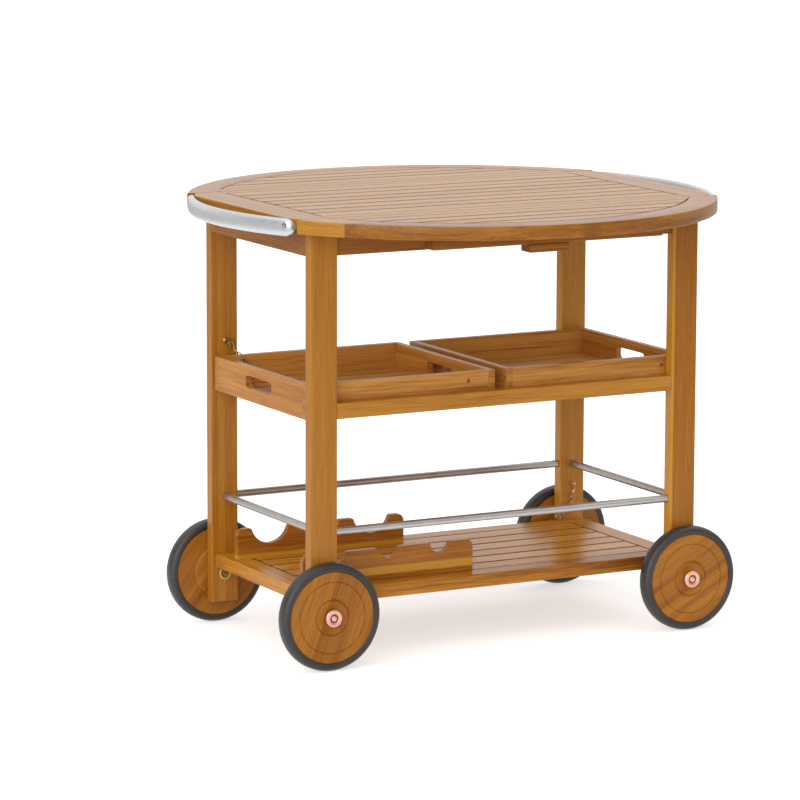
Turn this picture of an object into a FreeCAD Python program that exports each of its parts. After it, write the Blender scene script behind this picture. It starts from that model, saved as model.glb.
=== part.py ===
import FreeCAD, Part
import Sketcher
import math
import os
import re

# Outdoor bar cart in acacia: round drop-leaf top, two drawer trays, slatted shelf with a bottle rack,
# steel gallery rods and four wooden wheels. Millimetres, X along the cart, Y across it, Z up, and
# the origin on the ground below the middle of the top.

Vector = FreeCAD.Vector
doc = FreeCAD.newDocument("bar_cart")

sizes = {
    # round top
    "top_height": 749.3,
    "top_radius": 450.85,
    "top_thick": 23,
    "seam_overhang": 9.5,
    "seam_gap": 2,
    "chord_inset": 47.85,
    "end_board_width": 63,
    "edge_rail_width": 26,
    "slat_gap": 5,
    "slat_slit": 2.5,
    "tongue_depth": 8,
    "tongue_thick": 8,
    "tongue_gap": 0.3,
    "centre_slat_count": 8,
    "top_batten_width": 40,
    "top_batten_thick": 12,
    "top_batten_spacing": 200,
    # drop leaves
    "rim_width": 49,
    "leaf_rail_width": 28,
    "leaf_slat_count": 4,
    "leaf_batten_setback": 139.85,
    "leaf_batten_width": 28,
    "leaf_batten_thick": 6,
    "leaf_batten_inset": 5,
    "leaf_batten_clearance": 2,
    "cross_bar_offset": 96,
    "cross_bar_length": 434,
    "cross_bar_depth": 30,
    "cross_bar_thick": 23,
    "block_length": 75,
    "block_depth": 31,
    "block_thick": 14,
    # leaf hinges
    "hinge_batten_gap": 18,
    "hinge_width": 60,
    "leaf_plate_reach": 28,
    "fixed_plate_reach": 13,
    "hinge_plate_thick": 2,
    "hinge_drop": 4.5,
    "knuckle_radius": 4,
    "knuckle_width": 22,
    "knuckle_gap": 0.5,
    "pin_radius": 2,
    "running_gap": 0.05,
    # end handles
    "handle_depth": 13,
    "handle_height": 29,
    "handle_end_gap": 18,
    "handle_edge_radius": 8,
    "handle_inner_radius": 4.5,
    "seat_gap": 0.1,
    # legs and aprons
    "leg_setback": 80.85,
    "leg_width": 49,
    "leg_outer_y": 197.5,
    "leg_thick": 20,
    "leg_foot": 41,
    "apron_height": 41.3,
    "apron_thick": 15,
    "end_apron_thick": 20,
    # tray rails and runners
    "rail_bottom": 415,
    "rail_height": 26,
    "runner_bottom": 425,
    "runner_height": 8,
    "runner_grip": 5.5,
    "runner_inner_end": 15,
    "runner_setback": 20,
    "slide_gap": 0.3,
    # trays
    "tray_bottom": 413,
    "tray_height": 56,
    "tray_wall": 12,
    "tray_side_gap": 4.5,
    "tray_inner_end": 11,
    "tray_setback": 4,
    "finger_count": 5,
    "tray_slat_count": 7,
    "tray_slat_thick": 9,
    "tray_bearer_thick": 8,
    "tray_bearer_width": 30,
    "tray_bearer_inset": 25,
    "grip_length": 100,
    "grip_height": 27,
    "grip_centre": 30.5,
    "grip_shift": 5,
    "grip_corner": 10,
    "wall_hole_height": 43,
    "front_hole_inset": 50,
    "back_hole_inset": 61,
    "wall_hole_radius": 3.2,
    # gallery rods
    "rod_height": 226,
    "rod_radius": 5.8,
    "rod_depth": 8,
    # shelf
    "shelf_bottom": 103,
    "shelf_thick": 23,
    "shelf_setback": 6,
    "shelf_rail_width": 36.5,
    "shelf_end_width": 39,
    "shelf_slat_count": 6,
    "shelf_batten_offset": 143,
    "shelf_batten_width": 34,
    "shelf_batten_thick": 8,
    "shelf_batten_margin": 57,
    # bottle rack
    "rack_end_margin": 8,
    "rack_length": 322,
    "rack_height": 53,
    "rack_thick": 12,
    "rack_corner": 12,
    "rack_front": 141,
    "rack_back": 112,
    "bottle_spacing": 98,
    "body_radius": 36.4,
    "body_depth": 28.5,
    "neck_radius": 18.7,
    "neck_depth": 17,
    "shoulder_radius": 5,
    # wheels
    "wheel_radius": 90.5,
    "disc_radius": 77,
    "disc_thick": 25,
    "boss_radius": 45,
    "boss_height": 4,
    "hub_radius": 29,
    "hub_height": 1.5,
    "groove_radius": 60,
    "groove_width": 2,
    "groove_depth": 1.2,
    "tyre_width": 27,
    "tyre_shoulder": 83,
    "axle_radius": 8,
    "axle_gap": 0.3,
    "washer_radius": 14,
    "washer_thick": 2.4,
    "nut_radius": 7.5,
    "seat_radius": 10.5,
    "seat_thick": 1.2,
    "nut_height": 6,
    "cap_radius": 15,
    "cap_edge": 3,
    "cap_height": 5.5,
    "cap_bevel": 1.5,
    "cap_ring_outer": 7.8,
    "cap_ring_inner": 4.2,
    "cap_ring_depth": 1.2,
    # retaining chains
    "wire_radius": 1.1,
    "link_width": 4,
    "link_gap": 0.3,
    "screw_radius": 1.6,
    "screw_head": 4.5,
    "head_height": 2.6,
    "screw_reach": 6.5,
    "screw_depth": 10,
    "chain_stand_off": 4.3,
    "tray_screw_inset": 27,
    "tray_screw_height": 495,
    "shelf_screw_inset": 27,
    "shelf_screw_height": 189,
    "eye_inset": 57,
    "eye_radius": 4,
    "eye_stem": 8,
    "eye_margin": 8,
}

# Lengths that follow from the sizes above.
derived = {
    "leg_outer_x": "top_radius - leg_setback",
    "seam_offset": "leg_outer_y + seam_overhang",
    "chord_offset": "top_radius - chord_inset",
    "end_board_inner": "chord_offset - end_board_width",
    "runner_outer_end": "leg_outer_x - runner_setback",
    "tray_outer_end": "leg_outer_x - tray_setback",
    "shelf_half_length": "leg_outer_x - shelf_setback",
    "leaf_batten_offset": "rim_inner - leaf_batten_setback",
    "leaf_batten_edge": "leaf_batten_offset + leaf_batten_width / 2",
    "leaf_batten_end": "sqrt(rim_inner ^ 2 - leaf_batten_edge ^ 2) - leaf_batten_clearance",
    "hinge_spacing": "leaf_batten_offset - leaf_batten_width / 2 - hinge_batten_gap - hinge_width / 2",
    "handle_half_span": "centre_end - handle_end_gap",
    "top_under": "top_height - top_thick",
    "leaf_start": "seam_offset + seam_gap / 2",
    "centre_end": "seam_offset - seam_gap / 2",
    "centre_field": "centre_end - edge_rail_width",
    "centre_pitch": "2 * centre_field / centre_slat_count",
    "rim_inner": "top_radius - rim_width",
    "leaf_field": "leaf_start + leaf_rail_width",
    "leaf_pitch": "(rim_inner - leaf_field) / leaf_slat_count",
    "tongue_low": "top_height - (top_thick + tongue_thick) / 2",
    "tongue_high": "top_height - (top_thick - tongue_thick) / 2",
    "cross_bar_low": "top_under - cross_bar_thick",
    "hinge_height": "top_under - hinge_drop",
    "handle_inner": "top_radius - handle_depth",
    "leg_inner_x": "leg_outer_x - leg_width",
    "leg_inner_y": "leg_outer_y - leg_thick",
    "leg_middle_x": "leg_outer_x - leg_width / 2",
    "leg_middle_y": "leg_outer_y - leg_thick / 2",
    "apron_bottom": "top_under - apron_height",
    "tray_top": "tray_bottom + tray_height",
    "tray_side": "leg_inner_y - tray_side_gap",
    "tray_inside": "tray_side - tray_wall",
    "finger": "tray_height / finger_count",
    "runner_depth": "tray_side_gap + runner_grip",
    "tray_floor": "tray_bottom + tray_bearer_thick",
    "tray_pitch": "2 * tray_inside / tray_slat_count",
    "hole_level": "tray_bottom + wall_hole_height",
    "shelf_top": "shelf_bottom + shelf_thick",
    "shelf_field": "leg_inner_y - shelf_rail_width",
    "shelf_pitch": "2 * shelf_field / shelf_slat_count",
    "shelf_end_inner": "shelf_half_length - shelf_end_width",
    "rack_top": "shelf_top + rack_height",
    "rack_centre": "shelf_half_length - rack_end_margin - rack_length / 2",
    "boss_face": "leg_outer_y + washer_thick + axle_gap",
    "disc_back": "boss_face + boss_height",
    "disc_face": "disc_back + disc_thick",
    "hub_face": "disc_face + hub_height",
    "cap_seat": "hub_face + axle_gap",
    "tyre_back": "disc_back + (disc_thick - tyre_width) / 2",
    "tyre_face": "tyre_back + tyre_width",
    "tyre_crown": "wheel_radius - tyre_shoulder",
}

sheet = doc.addObject("Spreadsheet::Sheet", "Sizes")
for row, (alias, size) in enumerate(sizes.items(), start=1):
    sheet.set(f"A{row}", alias)
    sheet.set(f"B{row}", str(size))
    sheet.setAlias(f"B{row}", alias)
doc.recompute()

nodes = []


def expand(text):
    """Write an expression of size names in the sheet's own terms."""
    def swap(match):
        word = match.group(0)
        if word in derived:
            return "(" + expand(derived[word]) + ")"
        return "Sizes." + word if word in sizes else word
    return re.sub(r"[a-z]+(?:_[a-z]+)*", swap, str(text))


def number(text):
    """The present value of an expression of size names."""
    return float(sheet.evalExpression(expand(text)))


def count(name):
    return int(round(number(name)))


def node(piece, label):
    """Make an object one of the cart's named sub-parts."""
    piece.Label = label
    nodes.append(piece)
    return piece


def span(side, low, high):
    """A range on the positive side of an axis, or its mirror image."""
    return (low, high) if side > 0 else (f"-({high})", f"-({low})")


def both(half):
    return (f"-({half})", half)


def box(name, x_range, y_range, z_range):
    piece = doc.addObject("Part::Box", name)
    for size, axis, (low, high) in zip(("Length", "Width", "Height"), "xyz", (x_range, y_range, z_range)):
        piece.setExpression(size, expand(f"({high}) - ({low})"))
        piece.setExpression(f"Placement.Base.{axis}", expand(low))
    return piece


turns = {
    "x": FreeCAD.Rotation(Vector(0, 1, 0), 90),
    "y": FreeCAD.Rotation(Vector(1, 0, 0), -90),
    "z": FreeCAD.Rotation(),
}


def cylinder(name, radius, axis, reach, place):
    """A cylinder along one axis over a range, with its place on the other two axes in order."""
    piece = doc.addObject("Part::Cylinder", name)
    piece.Placement = FreeCAD.Placement(Vector(), turns[axis])
    piece.setExpression("Radius", expand(radius))
    piece.setExpression("Height", expand(f"({reach[1]}) - ({reach[0]})"))
    piece.setExpression(f"Placement.Base.{axis}", expand(reach[0]))
    for other, value in zip([a for a in "xyz" if a != axis], place):
        piece.setExpression(f"Placement.Base.{other}", expand(value))
    return piece


def group(name, pieces):
    piece = doc.addObject("Part::Compound", name)
    piece.Links = pieces
    return piece


def fuse(name, pieces):
    piece = doc.addObject("Part::MultiFuse", name)
    piece.Shapes = pieces
    return piece


def pair(kind, name, base, tool):
    piece = doc.addObject(kind, name)
    piece.Base = base
    piece.Tool = tool
    return piece


def cut(name, base, tools):
    tool = tools[0] if len(tools) == 1 else group(name + "_tools", tools)
    return pair("Part::Cut", name, base, tool)


def common(name, base, tool):
    return pair("Part::Common", name, base, tool)


def rounded(name, base, radius, chosen):
    """Round the edges of a shape that a test on each edge picks."""
    doc.recompute()
    piece = doc.addObject("Part::Fillet", name)
    piece.Base = base
    size = number(radius)
    piece.Edges = [(i, size, size) for i, e in enumerate(base.Shape.Edges, start=1) if chosen(e)]
    return piece


def along(edge, axis):
    """Whether an edge is a straight line along an axis."""
    if len(edge.Vertexes) != 2 or edge.Curve.TypeId != "Part::GeomLine":
        return False
    return abs(abs(edge.Curve.Direction.dot(axis)) - 1) < 1e-6


def revolved(name, corners, arcs=(), plane="XY_Plane", angle=360):
    """A body turned about its sketch's upright axis, from corners given as radius and height.

    arcs maps the number of a side to the radius of the arc that bulges it outwards.
    """
    body = doc.addObject("PartDesign::Body", name)
    sketch = body.newObject("Sketcher::SketchObject", name + "_profile")
    origin = next(f for f in body.Origin.OriginFeatures if f.Role == plane)
    sketch.AttachmentSupport = [(origin, "")]
    sketch.MapMode = "FlatFace"
    points = [Vector(number(x), number(y), 0) for x, y in corners]
    middle = sum(points, Vector()) / len(points)
    arcs = dict(arcs)
    starts = {}
    for side, start in enumerate(points):
        end = points[(side + 1) % len(points)]
        if side not in arcs:
            sketch.addGeometry(Part.LineSegment(start, end), False)
            starts[side] = 1
            continue
        chord = (start + end) / 2
        radius = number(arcs[side])
        out = Vector(start.y - end.y, end.x - start.x, 0).normalize()
        if out.dot(chord - middle) < 0:
            out = -out
        hub = chord - out * math.sqrt(radius ** 2 - ((end - start).Length / 2) ** 2)
        starts[side] = 1 if (start - hub).cross(end - hub).z > 0 else 2
        angles = [math.atan2(p.y - hub.y, p.x - hub.x) for p in (start, end)]
        if starts[side] == 2:
            angles.reverse()
        sketch.addGeometry(Part.ArcOfCircle(Part.Circle(hub, Vector(0, 0, 1), radius), *angles), False)
    for side in range(len(points)):
        after = (side + 1) % len(points)
        sketch.addConstraint(Sketcher.Constraint("Coincident", side, 3 - starts[side], after,
                                                 starts[after]))
    for side, (x, y) in enumerate(corners):
        for kind, text, value in (("DistanceX", x, points[side].x), ("DistanceY", y, points[side].y)):
            at = sketch.addConstraint(Sketcher.Constraint(kind, -1, 1, side, starts[side], value))
            sketch.setExpression(f"Constraints[{at}]", expand(text))
        if side in arcs:
            at = sketch.addConstraint(Sketcher.Constraint("Radius", side, number(arcs[side])))
            sketch.setExpression(f"Constraints[{at}]", expand(arcs[side]))
    turn = body.newObject("PartDesign::Revolution", name + "_turn")
    turn.Profile = sketch
    turn.ReferenceAxis = (sketch, ["V_Axis"])
    turn.Midplane = True
    turn.Angle = angle
    body.Tip = turn
    return body


def place(piece, x="0", y="0", z="0"):
    """Put a body turned about Y at a place, with its seam at the bottom."""
    piece.Placement = FreeCAD.Placement(Vector(), FreeCAD.Rotation(Vector(0, 1, 0), -90))
    for axis, value in zip("xyz", (x, y, z)):
        piece.setExpression(f"Placement.Base.{axis}", expand(value))
    return piece


sides = {"front": -1, "back": 1}
ends = {"left": -1, "right": 1}
top_layer = ("top_under", "top_height")


def fixed_top():
    """The middle of the top: two grooved end boards, two edge rails, tongued slats, and battens below."""
    tongue_layer = ("tongue_low", "tongue_high")
    boards = []
    for end, sign in ends.items():
        board = box(f"end_board_{end}_blank", span(sign, "end_board_inner", "chord_offset"),
                    both("centre_end"), top_layer)
        round_edge = cylinder(f"end_board_{end}_round", "handle_inner - seat_gap", "z", top_layer, ("0",
                                                                                                    "0"))
        groove = box(f"end_board_{end}_groove", span(sign, "end_board_inner",
                                                     "end_board_inner + tongue_depth"),
                     both("centre_field"), tongue_layer)
        boards.append(cut(f"end_board_{end}", common(f"end_board_{end}_shape", board, round_edge),
                          [groove]))
    node(group("end_boards", boards), "top_end_boards")
    rails = [box(f"edge_rail_{name}", both("end_board_inner"), span(sign, "centre_field", "centre_end"),
                 top_layer) for name, sign in sides.items()]
    node(group("edge_rails", rails), "top_edge_rails")
    slats = []
    for i in range(count("centre_slat_count")):
        low = f"-centre_field + {i} * centre_pitch + slat_gap / 2"
        width = (low, f"{low} + centre_pitch - slat_gap")
        slats.append(fuse(f"centre_slat_{i}", [
            box(f"centre_slat_{i}_board", both("end_board_inner - slat_slit"), width, top_layer),
            box(f"centre_slat_{i}_tongue", both("end_board_inner + tongue_depth - tongue_gap"), width,
                tongue_layer)]))
    node(group("centre_slats", slats), "top_centre_slats")
    battens = []
    half = "top_batten_width / 2"
    for i in (-1, 0, 1):
        middle = f"{i} * top_batten_spacing"
        battens.append(box(f"top_batten_{i + 1}", (f"{middle} - {half}", f"{middle} + {half}"),
                           both("leg_inner_y"), ("top_under - top_batten_thick", "top_under")))
    node(group("top_battens", battens), "top_battens")


def leaf(name, sign):
    """One D-shaped drop leaf: rim, hinge rail, tongued slats, battens, cross bar and finger block."""
    tongue_layer = ("tongue_low", "tongue_high")
    zone = box(f"leaf_{name}_zone", both("top_radius"), span(sign, "leaf_start", "top_radius"), top_layer)
    outer = cylinder(f"rim_{name}_outer", "top_radius", "z", top_layer, ("0", "0"))
    inner = cylinder(f"rim_{name}_inner", "rim_inner", "z", top_layer, ("0", "0"))
    curve = common(f"rim_{name}_curve", cut(f"rim_{name}_ring", outer, [inner]), zone)
    groove = common(f"rim_{name}_groove",
                    cylinder(f"rim_{name}_groove_disc", "rim_inner + tongue_depth", "z", tongue_layer,
                             ("0", "0")),
                    box(f"rim_{name}_groove_zone", both("top_radius"), span(sign, "leaf_field",
                                                                            "top_radius"),
                        tongue_layer))
    node(cut(f"rim_{name}", curve, [groove]), f"leaf_rim_{name}")
    strip = box(f"leaf_rail_{name}_strip", both("rim_inner"), span(sign, "leaf_start", "leaf_field"),
                top_layer)
    disc = cylinder(f"leaf_rail_{name}_disc", "rim_inner", "z", top_layer, ("0", "0"))
    node(common(f"leaf_rail_{name}", strip, disc), f"leaf_hinge_rail_{name}")
    slats = []
    for i in range(count("leaf_slat_count")):
        tag = f"leaf_slat_{name}_{i}"
        low = f"leaf_field + {i} * leaf_pitch + slat_gap / 2"
        width = span(sign, low, f"{low} + leaf_pitch - slat_gap")
        board = common(f"{tag}_board", box(f"{tag}_strip", both("top_radius"), width, top_layer),
                       cylinder(f"{tag}_disc", "rim_inner - slat_slit", "z", top_layer, ("0", "0")))
        tongue = common(f"{tag}_tongue", box(f"{tag}_tongue_strip", both("top_radius"), width,
                                             tongue_layer),
                        cylinder(f"{tag}_tongue_disc", "rim_inner + tongue_depth - tongue_gap", "z",
                                 tongue_layer,
                                 ("0", "0")))
        slats.append(fuse(tag, [board, tongue]))
    node(group(f"leaf_slats_{name}_set", slats), f"leaf_slats_{name}")
    battens = []
    for end, across in ends.items():
        battens.append(box(f"leaf_batten_{name}_{end}",
                           span(across, "leaf_batten_offset - leaf_batten_width / 2", "leaf_batten_edge"),
                           span(sign, "leaf_start + leaf_batten_inset", "leaf_batten_end"),
                           ("top_under - leaf_batten_thick", "top_under")))
    node(group(f"leaf_battens_{name}_set", battens), f"leaf_battens_{name}")
    start = "seam_offset + cross_bar_offset"
    node(box(f"cross_bar_{name}", both("cross_bar_length / 2"), span(sign, start,
                                                                     f"{start} + cross_bar_depth"),
             ("cross_bar_low", "top_under")), f"leaf_cross_bar_{name}")
    node(box(f"block_{name}", both("block_length / 2"), span(sign, start, f"{start} + block_depth"),
             ("cross_bar_low - block_thick", "cross_bar_low")), f"leaf_finger_block_{name}")


def hinges():
    """Three butt hinges under each seam: fixed plates with two knuckles, leaf plates with one, and pins."""
    fixed, pins = [], []
    plate_layer = ("top_under - hinge_plate_thick", "top_under")
    half = "hinge_width / 2"
    inner_half = "knuckle_width / 2"
    outer_half = "knuckle_width / 2 + knuckle_gap"
    for name, sign in sides.items():
        axis_y = f"{sign} * seam_offset"
        moving = []
        for i in (-1, 0, 1):
            tag = f"hinge_{name}_{i + 1}"
            x = f"{i} * hinge_spacing"

            def reach(low, high):
                return (f"{x} + {low}", f"{x} + {high}")

            def wing(suffix, x_range, start, end):
                return box(f"{tag}_{suffix}", x_range, span(sign, start, end), plate_layer)

            def knuckle(suffix, radius, x_range):
                return cylinder(f"{tag}_{suffix}", radius, "x", x_range, (axis_y, "hinge_height"))

            clear = "knuckle_radius + knuckle_gap"
            left = reach(f"-({half})", f"-({outer_half})")
            right = reach(outer_half, half)
            middle = reach(f"-({inner_half})", inner_half)
            full = reach(f"-({half})", half)
            leaf_plate = fuse(f"{tag}_leaf_blank", [
                wing("leaf_wing", full, f"seam_offset + {clear}", "seam_offset + leaf_plate_reach"),
                wing("leaf_web", middle, "seam_offset", f"seam_offset + {clear}"),
                knuckle("leaf_knuckle", "knuckle_radius", middle)])
            moving.append(cut(f"{tag}_leaf", leaf_plate, [knuckle("leaf_bore",
                                                                  "pin_radius + running_gap", middle)]))
            fixed_plate = fuse(f"{tag}_fixed_blank", [
                wing("fixed_wing", full, "seam_offset - fixed_plate_reach", f"seam_offset - ({clear})"),
                wing("fixed_web_left", left, f"seam_offset - ({clear})", "seam_offset"),
                wing("fixed_web_right", right, f"seam_offset - ({clear})", "seam_offset"),
                knuckle("fixed_knuckle_left", "knuckle_radius", left),
                knuckle("fixed_knuckle_right", "knuckle_radius", right)])
            fixed.append(cut(f"{tag}_fixed", fixed_plate, [
                knuckle("fixed_bore_left", "pin_radius", left), knuckle("fixed_bore_right",
                                                                        "pin_radius", right)]))
            pins.append(knuckle("pin", "pin_radius", full))
        node(group(f"hinge_leaves_{name}", moving), f"hinge_leaf_plates_{name}")
    node(group("hinge_plates", fixed), "hinge_fixed_plates")
    node(group("hinge_pin_set", pins), "hinge_pins")


def handles():
    """A curved metal grip at each end that completes the circle, with full-round ends."""
    low = "top_height - handle_height"
    r = "handle_edge_radius"
    s = "handle_inner_radius"
    for end, sign in ends.items():
        corners = [(f"handle_inner + {s}", low), (f"top_radius - {r}", low),
                   ("top_radius", f"{low} + {r}"), ("top_radius", f"top_height - {r}"),
                   (f"top_radius - {r}", "top_height"), (f"handle_inner + {s}", "top_height"),
                   ("handle_inner", f"top_height - {s}"), ("handle_inner", f"{low} + {s}")]
        ring = revolved(f"handle_{end}_ring", corners, {1: r, 3: r, 5: s, 7: s}, "XZ_Plane")
        centre = "top_height - handle_height / 2"
        flat = "handle_half_span - handle_height / 2"
        zone = [box(f"handle_{end}_zone", span(sign, "end_board_inner", "top_radius"), both(flat),
                    (low, "top_height"))]
        for name, across in sides.items():
            zone.append(cylinder(f"handle_{end}_{name}_end", "handle_height / 2", "x",
                                 span(sign, "end_board_inner", "top_radius"), (f"{across} * ({flat})",
                                                                               centre)))
        node(common(f"handle_{end}", ring, fuse(f"handle_{end}_outline", zone)), f"handle_{end}")


def frame():
    """Legs drilled for axles and rods, aprons, tray rails with runners, and gallery rods."""
    for name, sign in sides.items():
        for end, across in ends.items():
            tag = f"leg_{name}_{end}"
            blank = box(f"{tag}_blank", span(across, "leg_inner_x", "leg_outer_x"),
                        span(sign, "leg_inner_y", "leg_outer_y"), ("leg_foot", "top_under"))
            middle = (f"{across} * leg_middle_x", "wheel_radius")
            holes = [cylinder(f"{tag}_axle_hole", "axle_radius", "y", span(sign, "leg_inner_y",
                                                                           "leg_outer_y"),
                              middle),
                     cylinder(f"{tag}_long_rod_hole", "rod_radius", "x",
                              span(across, "leg_inner_x", "leg_inner_x + rod_depth"),
                              (f"{sign} * leg_middle_y", "rod_height")),
                     cylinder(f"{tag}_short_rod_hole", "rod_radius", "y",
                              span(sign, "leg_inner_y", "leg_inner_y + rod_depth"),
                              (f"{across} * leg_middle_x", "rod_height"))]
            held = "tray_screw" if sign != across else "shelf_screw"
            holes.append(cylinder(f"{tag}_screw_hole", "screw_radius", "y",
                                  span(sign, "leg_inner_y", "leg_inner_y + screw_depth"),
                                  (f"{across} * (leg_outer_x - {held}_inset)", f"{held}_height")))
            node(cut(tag, blank, holes), tag)
    apron_layer = ("apron_bottom", "top_under")
    aprons = [box(f"apron_{name}", both("leg_inner_x"), span(sign, "leg_inner_y",
                                                             "leg_inner_y + apron_thick"),
                  apron_layer) for name, sign in sides.items()]
    node(group("long_aprons", aprons), "aprons_long")
    aprons = [box(f"apron_{end}", span(across, "leg_outer_x - end_apron_thick", "leg_outer_x"),
                  both("leg_inner_y"), apron_layer) for end, across in ends.items()]
    node(group("end_aprons", aprons), "aprons_end")
    rails, runners = [], []
    for name, sign in sides.items():
        rails.append(box(f"rail_{name}", both("leg_inner_x"), span(sign, "leg_inner_y", "leg_outer_y"),
                         ("rail_bottom", "rail_bottom + rail_height")))
        for end, across in ends.items():
            runners.append(box(f"runner_{name}_{end}",
                               span(across, "runner_inner_end", "runner_outer_end"),
                               span(sign, "leg_inner_y - runner_depth", "leg_inner_y"),
                               ("runner_bottom", "runner_bottom + runner_height")))
    node(group("rails", rails), "tray_rails")
    node(group("runners", runners), "tray_runners")
    rods = [cylinder(f"long_rod_{name}", "rod_radius", "x", both("leg_inner_x + rod_depth"),
                     (f"{sign} * leg_middle_y", "rod_height")) for name, sign in sides.items()]
    rods += [cylinder(f"short_rod_{end}", "rod_radius", "y", both("leg_inner_y + rod_depth"),
                      (f"{across} * leg_middle_x", "rod_height")) for end, across in ends.items()]
    node(group("rods", rods), "gallery_rods")


def tray(end, across):
    """One drawer tray: box-jointed walls, grooves for the runners, hand grips, slatted floor and bearers."""
    wall = ("tray_bottom", "tray_top")
    groove_layer = ("runner_bottom - slide_gap", "runner_bottom + runner_height + slide_gap")
    groove_reach = ("leg_inner_y - runner_depth - slide_gap", "tray_side")
    outer = span(across, "tray_outer_end - tray_wall", "tray_outer_end")
    inner = span(across, "tray_inner_end", "tray_inner_end + tray_wall")

    def sockets(tag, x_range, y_range, parity):
        """The gaps between the fingers at one end of a wall."""
        return [box(f"{tag}_{i}", x_range, y_range,
                    (f"tray_bottom + {i} * finger", f"tray_bottom + {i + 1} * finger"))
                for i in range(count("finger_count")) if i % 2 == parity]

    walls, boards = [], []
    for name, sign in sides.items():
        tag = f"tray_{end}_{name}"
        y_range = span(sign, "tray_inside", "tray_side")
        blank = box(f"{tag}_blank", span(across, "tray_inner_end", "tray_outer_end"), y_range, wall)
        tools = sockets(f"{tag}_outer_socket", outer, y_range, 0)
        tools += sockets(f"{tag}_inner_socket", inner, y_range, 0)
        jointed = cut(f"{tag}_jointed", blank, tools)
        groove = box(f"{tag}_groove", span(across, "tray_inner_end", "runner_outer_end + slide_gap"),
                     span(sign, *groove_reach), groove_layer)
        right_end = "tray_outer_end" if across > 0 else "-tray_inner_end"
        left_end = "tray_inner_end" if across > 0 else "-tray_outer_end"
        hole_x = f"{right_end} - front_hole_inset" if sign < 0 else f"{left_end} + back_hole_inset"
        hole = cylinder(f"{tag}_hole", "wall_hole_radius", "y", y_range, (hole_x, "hole_level"))
        walls.append(cut(f"{tag}_wall", jointed, [groove, hole]))
    node(group(f"tray_{end}_wall_set", walls), f"tray_{end}_walls")
    for which, x_range in (("outer", outer), ("inner", inner)):
        tag = f"tray_{end}_{which}"
        blank = box(f"{tag}_blank", x_range, both("tray_side"), wall)
        grip = box(f"{tag}_grip", x_range, ("grip_shift - grip_length / 2",
                                            "grip_shift + grip_length / 2"),
                   ("tray_bottom + grip_centre - grip_height / 2",
                    "tray_bottom + grip_centre + grip_height / 2"))
        tools = [rounded(f"{tag}_grip_round", grip, "grip_corner", lambda e: along(e, Vector(1, 0, 0)))]
        for name, sign in sides.items():
            tools += sockets(f"{tag}_{name}_socket", x_range, span(sign, "tray_inside", "tray_side"), 1)
        boards.append(cut(f"{tag}_board", blank, tools))
    node(group(f"tray_{end}_end_set", boards), f"tray_{end}_ends")
    slats = []
    for i in range(count("tray_slat_count")):
        low = f"-tray_inside + {i} * tray_pitch + slat_gap / 2"
        slats.append(box(f"tray_{end}_slat_{i}",
                         span(across, "tray_inner_end + tray_wall", "tray_outer_end - tray_wall"),
                         (low, f"{low} + tray_pitch - slat_gap"), ("tray_floor",
                                                                   "tray_floor + tray_slat_thick")))
    node(group(f"tray_{end}_slats", slats), f"tray_{end}_floor")
    bearers = []
    for which, start in (("outer", "tray_outer_end - tray_wall - tray_bearer_inset - tray_bearer_width"),
                         ("inner", "tray_inner_end + tray_wall + tray_bearer_inset")):
        bearers.append(box(f"tray_{end}_bearer_{which}", span(across, start,
                                                              f"{start} + tray_bearer_width"),
                           both("tray_inside"), ("tray_bottom", "tray_floor")))
    node(group(f"tray_{end}_bearer_set", bearers), f"tray_{end}_bearers")


def shelf():
    """The bottom shelf: two long rails, grooved end boards between them, tongued slats, and battens below."""
    layer = ("shelf_bottom", "shelf_top")
    tongue_layer = ("shelf_top - (shelf_thick + tongue_thick) / 2",
                    "shelf_top - (shelf_thick - tongue_thick) / 2")
    rails = []
    for name, sign in sides.items():
        board = box(f"shelf_rail_{name}_board", both("shelf_half_length"), span(sign, "shelf_field",
                                                                                "leg_inner_y"),
                    layer)
        eye_hole = cylinder(f"shelf_rail_{name}_eye_hole", "wire_radius", "z", ("shelf_top - eye_stem",
                                                                                "shelf_top"),
                            (f"{sign} * (shelf_half_length - eye_inset)",
                             f"{sign} * (leg_inner_y - eye_margin)"))
        rails.append(cut(f"shelf_rail_{name}", board, [eye_hole]))
    node(group("shelf_rail_set", rails), "shelf_rails")
    boards = []
    for end, across in ends.items():
        board = box(f"shelf_end_{end}_blank", span(across, "shelf_end_inner", "shelf_half_length"),
                    both("shelf_field"), layer)
        groove = box(f"shelf_end_{end}_groove", span(across, "shelf_end_inner",
                                                     "shelf_end_inner + tongue_depth"),
                     both("shelf_field"), tongue_layer)
        boards.append(cut(f"shelf_end_{end}", board, [groove]))
    node(group("shelf_end_set", boards), "shelf_ends")
    slats = []
    for i in range(count("shelf_slat_count")):
        low = f"-shelf_field + {i} * shelf_pitch + slat_gap / 2"
        width = (low, f"{low} + shelf_pitch - slat_gap")
        slats.append(fuse(f"shelf_slat_{i}", [
            box(f"shelf_slat_{i}_board", both("shelf_end_inner - slat_slit"), width, layer),
            box(f"shelf_slat_{i}_tongue", both("shelf_end_inner + tongue_depth - tongue_gap"), width,
                tongue_layer)]))
    node(group("shelf_slat_set", slats), "shelf_slats")
    battens = [box(f"shelf_batten_{end}",
                   span(across, "shelf_batten_offset - shelf_batten_width / 2",
                        "shelf_batten_offset + shelf_batten_width / 2"),
                   both("leg_inner_y - shelf_batten_margin"),
                   ("shelf_bottom - shelf_batten_thick", "shelf_bottom"))
               for end, across in ends.items()]
    node(group("shelf_batten_set", battens), "shelf_battens")


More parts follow.
